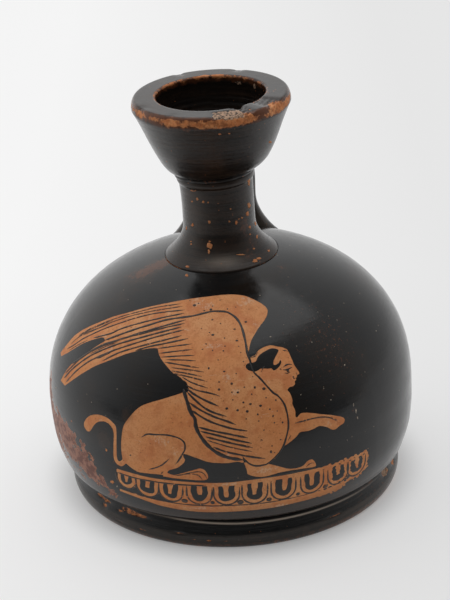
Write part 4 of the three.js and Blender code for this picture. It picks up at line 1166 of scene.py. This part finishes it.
def flakes(name, marks, ragged):
    """Thin closed flakes of bare clay or grit, ragged in outline, on the pot's outside."""
    vertices, faces = [], []
    for x, y, wide, tall in marks:
        angle = np.linspace(0, 2 * math.pi, FLAKE_SIDES, endpoint=False)
        spread = 1 + ragged * rng.uniform(-1, 1, FLAKE_SIDES)
        ring = np.stack([x + wide * spread * np.cos(angle), y + tall * spread * np.sin(angle)], axis=1)
        middle = np.array([[x, y]])
        faces += tube_faces(sum(len(v) for v in vertices), len(FLAKE_RINGS), FLAKE_SIDES, flip=True)
        for share, rise in FLAKE_RINGS:
            p = on_pot(middle + (ring - middle) * share)
            vertices.append(skin_point(turn_of(p), p[:, 2], rise))
    local = np.concatenate(vertices)
    return make_mesh(name, to_world(local), faces, {"pot": local})


flecks = flakes("bare_flecks", FLECKS, FLECK_RAGGED)
grit = flakes("pale_grit", GRIT, GRIT_RAGGED)


class Nodes:
    """A node tree with short ways to add the nodes that the finishes and the world share."""

    def __init__(self, tree):
        self.tree = tree

    def add(self, kind, inputs=None, **settings):
        node = self.tree.nodes.new(kind)
        for key, value in settings.items():
            setattr(node, key, value)
        for socket, value in (inputs or {}).items():
            if isinstance(value, bpy.types.NodeSocket):
                self.tree.links.new(value, node.inputs[socket])
            else:
                node.inputs[socket].default_value = value
        return node

    def ramp(self, value, low_end, high_end, low_value, high_value, kind="LINEAR"):
        settings = {"Value": value, "From Min": low_end, "From Max": high_end,
                    "To Min": low_value, "To Max": high_value}
        return self.add("ShaderNodeMapRange", settings, interpolation_type=kind).outputs["Result"]

    def fade(self, value, low_end, high_end, to=1.0):
        return self.ramp(value, low_end, high_end, 0.0, to, "SMOOTHSTEP")

    def maths(self, operation, first, second):
        return self.add("ShaderNodeMath", {0: first, 1: second}, operation=operation).outputs[0]

    def plus(self, first, second):
        return self.maths("ADD", first, second)

    def times(self, first, second):
        return self.maths("MULTIPLY", first, second)

    def mix(self, share, first, second):
        return self.add("ShaderNodeMix", {0: share, 6: first, 7: second}, data_type="RGBA").outputs[2]

    def number(self, share, first, second):
        return self.add("ShaderNodeMix", {0: share, 2: first, 3: second}, data_type="FLOAT").outputs[0]


class Finish(Nodes):
    """A material whose noises lie in the pot's own frame."""

    def __init__(self, name):
        self.material = bpy.data.materials.new(name)
        self.material.use_nodes = True
        super().__init__(self.material.node_tree)
        self.shader = self.tree.nodes["Principled BSDF"]
        self.place = self.add("ShaderNodeAttribute", attribute_name="pot").outputs["Vector"]

    def attribute(self, name):
        return self.add("ShaderNodeAttribute", attribute_name=name).outputs["Fac"]

    def noise(self, scale, detail=4.0, roughness=0.55, stretch=(1, 1, 1)):
        place = self.add("ShaderNodeVectorMath", {0: self.place, 1: stretch}, operation="MULTIPLY")
        settings = {"Vector": place.outputs[0], "Scale": scale, "Detail": detail, "Roughness": roughness}
        return self.add("ShaderNodeTexNoise", settings).outputs["Fac"]

    def over(self, colour, value, low_end, high_end, other, share=1.0):
        """A colour that gives way to another as a value rises."""
        return self.mix(self.fade(value, low_end, high_end, share), colour, other)

    def varied(self, name, field, strength, middle=0.5):
        """A vertex attribute made uneven by a field about its middle."""
        shift = self.times(self.maths("SUBTRACT", field, middle), strength)
        return self.plus(self.attribute(name), shift)

    def finish(self, colour, roughness, height, relief):
        self.tree.links.new(colour, self.shader.inputs["Base Color"])
        self.tree.links.new(roughness, self.shader.inputs["Roughness"])
        lumps = self.add("ShaderNodeBump", {"Height": height, "Strength": 0.6, "Distance": relief})
        self.tree.links.new(lumps.outputs["Normal"], self.shader.inputs["Normal"])
        return self.material


# Colours, in linear light
BLACK, BROWN_BLACK = (0.0085, 0.0085, 0.0089, 1), (0.0125, 0.0088, 0.0066, 1)
# The second is the foot's black: a darker copy of the same gloss, painted shade
GREY_BLACK, FOOT_SHADE_BLACK = (0.012, 0.012, 0.012, 1), (0.0035, 0.0032, 0.003, 1)
BROWN, DUST, THIN_GLOSS = (0.034, 0.020, 0.013, 1), (0.20, 0.15, 0.105, 1), (0.135, 0.045, 0.018, 1)
MISFIRED, MISFIRED_DARK = (0.34, 0.150, 0.098, 1), (0.15, 0.046, 0.026, 1)
CLAY, CLAY_PALE, CLAY_DEEP = (0.70, 0.275, 0.095, 1), (0.74, 0.365, 0.160, 1), (0.53, 0.172, 0.052, 1)
CLAY_RED, CLAY_BROWN, CRUST = (0.60, 0.200, 0.070, 1), (0.26, 0.105, 0.045, 1), (0.74, 0.57, 0.41, 1)
# The first colour here is the pale grey of painted highlights, sheen and floor reflection, also on the
# foot's rubbed edge
SHEEN_AND_WEAR_PALE, CHALK, CHALK_DARK = (0.66, 0.55, 0.45, 1), (0.46, 0.295, 0.195, 1), (0.055, 0.036, 0.026, 1)
INK, INK_THIN = (0.020, 0.017, 0.016, 1), (0.10, 0.045, 0.022, 1)
GRIT_PALE, GRIT_DARK = (0.40, 0.33, 0.26, 1), (0.22, 0.18, 0.14, 1)
# How noises are stretched: all ways alike, along the wheel's rings, along brush streaks and along scrapes
EVEN, RINGS, STREAKS, SCRAPES = (1, 1, 1), (0.05, 0.05, 1.9), (0.11, 0.11, 4.2), (0.35, 0.35, 2.6)
# Layers over the plain clay: noise scale, detail, roughness and stretch, where it starts and where it is
# full, colour and strength
CLAY_LAYERS = [
    (0.10, 5, 0.55, EVEN, 0.36, 0.68, CLAY_PALE, 0.7),
    (0.23, 5, 0.6, EVEN, 0.50, 0.62, CLAY_RED, 0.75),
    (0.55, 6, 0.65, EVEN, 0.48, 0.70, CLAY_DEEP, 0.6),
    (0.36, 7, 0.7, EVEN, 0.56, 0.72, CLAY_PALE, 0.6),
    (2.6, 5, 0.8, EVEN, 0.46, 0.66, CLAY_DEEP, 0.7),
    (3.6, 4, 0.7, EVEN, 0.58, 0.70, CLAY_PALE, 0.5),
    (0.7, 7, 0.72, EVEN, 0.63, 0.72, CRUST, 0.6),
    (1.0, 4, 0.7, SCRAPES, 0.66, 0.72, CRUST, 0.6),
    (2.6, 3, 0.55, EVEN, 0.68, 0.74, BROWN_BLACK, 0.75),
]


def clay_colour(paint):
    """Mottled orange clay with fine grain, dark specks, scrapes and a pale crust."""
    colour = CLAY
    for scale, detail, roughness, stretch, start, full, other, share in CLAY_LAYERS:
        field = paint.noise(scale, detail, roughness, stretch)
        colour = paint.over(colour, field, start, full, other, share)
    return colour


def gloss(name, painted, mirror, black=BLACK):
    """Black gloss over clay, worn or left clear where the attributes say so."""
    paint = Finish(name)
    slow, fine = paint.noise(0.075, 5), paint.noise(1.9, 5, 0.65)
    rings, streaks = paint.noise(1.0, 4, 0.6, RINGS), paint.noise(1.0, 5, 0.7, STREAKS)
    other = BROWN_BLACK if black is BLACK else black
    if painted:
        colour = paint.over(black, slow, 0.46, 0.66, other)
        colour = paint.over(colour, rings, 0.45, 0.75, GREY_BLACK, 0.7)
        uneven = paint.noise(0.4, 7, 0.68)
    else:
        colour = paint.over(black, slow, 0.3, 0.55, other)
        colour = paint.over(colour, rings, 0.45, 0.75, other, 0.7)
        uneven = paint.times(paint.plus(streaks, paint.noise(0.5, 7, 0.7)), 0.5)
    colour = paint.over(colour, paint.varied("brown", uneven, 2.2), 0.35, 1.0, BROWN, 0.8)
    if painted:
        depth = paint.varied("red", paint.noise(0.42, 9, 0.7), 13.0, 0.555)
        reds = paint.over(MISFIRED_DARK, paint.noise(0.7, 7, 0.7), 0.44, 0.56, MISFIRED)
        reds = paint.over(CLAY_DEEP, depth, 0.1, 0.4, reds)
        colour = paint.over(colour, depth, -0.06, 0.06, reds)
        mottle = paint.times(paint.attribute("mottle"), 0.085)
        mottle = paint.plus(mottle, paint.noise(1.7, 8, 0.78))
        colour = paint.over(colour, mottle, 0.64, 0.70, THIN_GLOSS, 0.8)
        cells = paint.add("ShaderNodeTexVoronoi", {"Vector": paint.place, "Scale": 0.40})
        colour = paint.over(colour, cells.outputs["Distance"], 0.07, 0.04, DUST, 0.75)
    colour = paint.over(colour, paint.noise(1.15, 6, 0.72), 0.685, 0.75, DUST, 0.45)
    spread = paint.add("ShaderNodeMapRange", {"Value": paint.noise(0.85, 8, 0.74), "From Min": 0.32,
                                              "From Max": 0.68}, clamp=False).outputs[0]
    rubbed = paint.varied("thin", spread, 0.6)
    colour = paint.over(colour, rubbed, 0.33, 0.85, THIN_GLOSS, 0.75 if painted else 0.9)
    # Painted highlights, sheen and floor reflection, with the foot's rubbed edge, mixed in streaks where the
    # attribute asks
    if not painted:
        sheen_and_wear_share = paint.times(paint.attribute("wear_and_sheen"), paint.fade(streaks, 0.18, 0.42))
        colour = paint.mix(sheen_and_wear_share, colour, SHEEN_AND_WEAR_PALE)
    ragged = paint.plus(paint.attribute("worn"), paint.times(spread, 0.62))
    colour = paint.over(colour, ragged, 0.72, 0.95, THIN_GLOSS, 0.92)
    bare = paint.fade(ragged, 0.93, 1.0)
    bare_colour = clay_colour(paint)
    if painted:
        edge = paint.times(paint.noise(2.6, 3), 0.14)
        drawn = paint.fade(paint.plus(paint.attribute("clay"), edge), 0.04, 0.10)
        bare = paint.maths("MAXIMUM", bare, drawn)
        # Near the bottom the clay is darker: partly dirt, partly painted shade where the wall turns down
        bare_colour = paint.over(bare_colour, paint.attribute("brown"), 0.2, 1.0, CLAY_BROWN, 0.7)
        bare_colour = paint.over(bare_colour, paint.varied("pale", fine, 3.6), 0.75, 1.15, CRUST, 0.42)
        colour = paint.mix(bare, colour, bare_colour)
        dull = paint.maths("MAXIMUM", bare, paint.fade(depth, 0.0, 0.4, 0.75))
        shine = paint.number(paint.fade(paint.noise(0.5, 5, 0.65), 0.35, 0.7), 0.11, 0.22)
        brushed, relief = 0.12, 0.00007
    else:
        colour = paint.over(colour, paint.noise(1.25, 2, 0.5), 0.735, 0.76, CLAY_DEEP, 0.7)
        bare_colour = paint.over(bare_colour, paint.noise(1.4, 6, 0.7), 0.42, 0.58, CLAY_DEEP)
        bare_colour = paint.over(bare_colour, paint.noise(0.8, 7, 0.72), 0.46, 0.64, THIN_GLOSS, 0.65)
        colour = paint.mix(bare, colour, bare_colour)
        chalk = paint.over(CHALK_DARK, paint.noise(1.9, 5, 0.7), 0.44, 0.52, CHALK)
        scraped = paint.fade(paint.varied("pale", fine, 1.2), 0.42, 0.55)
        colour = paint.mix(scraped, colour, chalk)
        dull = paint.maths("MAXIMUM", bare, scraped)
        shine = paint.number(paint.fade(streaks, 0.35, 0.7), 0.11, 0.26)
        brushed, relief = 0.9, 0.00010
    roughness = paint.number(dull, shine, 0.62)
    height = paint.plus(paint.times(rings, 0.55), paint.times(fine, 0.30))
    height = paint.plus(height, paint.times(streaks, brushed))
    height = paint.maths("SUBTRACT", height, paint.times(dull, 0.35))
    paint.shader.inputs["IOR"].default_value = mirror
    return paint.finish(colour, roughness, height, relief)


def ink():
    """Thick gloss of the drawn lines, brownish where it is thin."""
    paint = Finish("relief_line_gloss")
    thin = paint.times(paint.attribute("thin"), paint.fade(paint.noise(0.5, 4), 0.35, 0.65))
    colour = paint.mix(thin, INK, INK_THIN)
    gaps = paint.times(paint.attribute("thin"), 0.10)
    gaps = paint.plus(paint.noise(1.5, 5, 0.7), gaps)
    colour = paint.over(colour, gaps, 0.645, 0.69, CLAY, 0.9)
    roughness = paint.number(paint.noise(1.2, 4), 0.3, 0.55)
    return paint.finish(colour, roughness, paint.noise(2.5, 3), 0.00004)


def bare_finish(name, pale):
    """Bare clay of the flecks, or pale grit."""
    paint = Finish(name)
    if pale:
        colour = paint.over(GRIT_PALE, paint.noise(2.2, 4), 0.4, 0.6, GRIT_DARK)
    else:
        colour = paint.mix(0.45, clay_colour(paint), CLAY_DEEP)
    return paint.finish(colour, paint.number(paint.noise(1.5, 4), 0.55, 0.8), paint.noise(3.0, 4), 0.00005)


painted_gloss = gloss("black_gloss_painted", True, 1.405)
plain_gloss = gloss("black_gloss_plain", False, 1.38)
# The foot's gloss is a darker copy of the plain gloss, painted shade
foot_gloss = gloss("black_gloss_foot_shaded", False, 1.38, FOOT_SHADE_BLACK)
for piece, finish, slot, nodes in (
        (body, painted_gloss, "black_gloss", ["body"]),
        (neck, plain_gloss, "black_gloss", ["neck"]),
        (mouth, plain_gloss, "black_gloss", ["mouth"]),
        (foot, foot_gloss, "black_gloss", ["foot_ring"]),
        (handle, plain_gloss, "black_gloss",
         ["handle", "handle_upper_joint_slip", "handle_lower_joint_slip"]),
        (foot_bead, foot_gloss, "red_clay", ["foot_joint_slip"]),
        (neck_bead, plain_gloss, "red_clay", ["neck_joint_slip"]),
        (mouth_bead, plain_gloss, "red_clay", ["mouth_joint_slip"]),
        (lines, ink(), "black_gloss", []),
        (flecks, bare_finish("bare_clay", False), "red_clay", []),
        (grit, bare_finish("pale_grit", True), "red_clay", [])):
    piece.data.materials.append(finish)
    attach(piece, "root")
    if nodes:
        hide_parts(*nodes)

# Pale floor, in metres
FLOOR_REACH, PAPER, PAPER_DIM = 6, (0.80, 0.80, 0.80, 1), (0.02, 0.02, 0.02, 1)
floor_corners = [(FLOOR_REACH * x, FLOOR_REACH * y, 0) for x, y in ((-1, -1), (1, -1), (1, 1), (-1, 1))]
floor_mesh = bpy.data.meshes.new("floor")
floor_mesh.from_pydata(floor_corners, [], [(0, 1, 2, 3)])
floor = bpy.data.objects.new("floor", floor_mesh)
bpy.context.scene.collection.objects.link(floor)
paper = Finish("floor_paper")
ray = paper.add("ShaderNodeLightPath").outputs
spot = paper.add("ShaderNodeNewGeometry").outputs["Position"]
spot_axes = paper.add("ShaderNodeSeparateXYZ", {0: spot}).outputs
from_pot = paper.add("ShaderNodeVectorMath", {0: spot}, operation="LENGTH").outputs["Value"]
# Painted shade: the floor's glow is greyer on the right
glow_shade_right = paper.ramp(spot_axes["X"], -0.06, 0.06, 1.0, 0.83)
# The floor in front throws less light on the pot, as in the photo, but is pale to look at
dimmer = paper.ramp(spot_axes["Y"], -0.22, -0.06, 0.15, 1.0, "SMOOTHSTEP")
as_seen = paper.maths("MAXIMUM", dimmer, ray["Is Camera Ray"])
glow = paper.add("ShaderNodeEmission", {"Strength": paper.times(glow_shade_right, as_seen)})
# The share of plain white falls near the pot, where the shadow is deepest
near_pot = paper.ramp(from_pot, 0.034, 0.043, 0.45, 1.0, "SMOOTHSTEP")
white = paper.times(paper.ramp(spot_axes["Y"], -0.08, 0.10, 0.50, 0.71), near_pot)
seen = paper.plus(ray["Is Camera Ray"], ray["Is Glossy Ray"])
seen = paper.maths("MINIMUM", paper.plus(seen, ray["Is Transmission Ray"]), 1.0)
white = paper.times(white, seen)
paper.tree.links.new(paper.mix(as_seen, PAPER_DIM, PAPER), paper.shader.inputs["Base Color"])
paper.shader.inputs["Roughness"].default_value = 0.9
both = paper.add("ShaderNodeMixShader", {0: white, 1: paper.shader.outputs[0], 2: glow.outputs[0]})
paper.tree.links.new(both.outputs[0], paper.tree.nodes["Material Output"].inputs["Surface"])
floor_mesh.materials.append(paper.material)

# Soft light from all round, dimmer from the camera's side and from the right
world = bpy.data.worlds.new("studio")
bpy.context.scene.world = world
world.use_nodes = True
sky = Nodes(world.node_tree)
direction = sky.add("ShaderNodeTexCoord").outputs["Generated"]
toward = sky.add("ShaderNodeSeparateXYZ", {0: direction}).outputs
front_light = sky.ramp(toward["Y"], -0.85, 0.2, 0.165, 1.0, "SMOOTHSTEP")
right_light = sky.ramp(toward["X"], -0.3, 0.9, 1.0, 0.62)
# The camera sees the floor's own tone beyond the floor, with its painted shade on the right, so that no
# horizon shows
backdrop = sky.ramp(toward["X"], -0.3, 0.3, 0.82, 0.71)
to_camera = sky.add("ShaderNodeLightPath").outputs["Is Camera Ray"]
strength = sky.number(to_camera, sky.times(front_light, right_light), backdrop)
background = sky.tree.nodes["Background"]
sky.tree.links.new(strength, background.inputs["Strength"])
background.inputs["Color"].default_value = (1, 1, 1, 1)


def placed(axes, place):
    """A world matrix from three axes, as columns, and a place in metres."""
    return Matrix([[*axes[k], place[k]] for k in range(3)] + [[0, 0, 0, 1]])


# One large soft lamp overhead, in metres and watts
LAMP_PLACE, LAMP_AIM, LAMP_SIZE, LAMP_POWER = (0.05, 0.1, 0.9), (0, 0.02, 0), 0.9, 2.4
lamp_data = bpy.data.lights.new("overhead", "AREA")
lamp_data.shape = "RECTANGLE"
lamp_data.size = LAMP_SIZE
lamp_data.size_y = LAMP_SIZE
lamp_data.energy = LAMP_POWER
lamp = bpy.data.objects.new("overhead", lamp_data)
away = np.array(LAMP_PLACE, float) - np.array(LAMP_AIM, float)
away /= np.linalg.norm(away)
side = np.cross((0, 0, 1), away)
side /= np.linalg.norm(side)
lamp.matrix_world = placed(np.stack([side, np.cross(away, side), away], axis=1), LAMP_PLACE)
bpy.context.scene.collection.objects.link(lamp)

# Camera at the photo's place
camera_data = bpy.data.cameras.new("photo_camera")
camera_data.sensor_fit = "VERTICAL"
camera_data.sensor_height = SENSOR_MM
camera_data.lens = FOCAL_PX / PHOTO_HEIGHT * SENSOR_MM
camera = bpy.data.objects.new("photo_camera", camera_data)
camera.matrix_world = placed(np.stack([CAMERA_RIGHT, CAMERA_UP, -FORWARD], axis=1), CAMERA_PLACE * MM)
bpy.context.scene.collection.objects.link(camera)
bpy.context.scene.camera = camera
bpy.context.scene.view_settings.view_transform = "Standard"
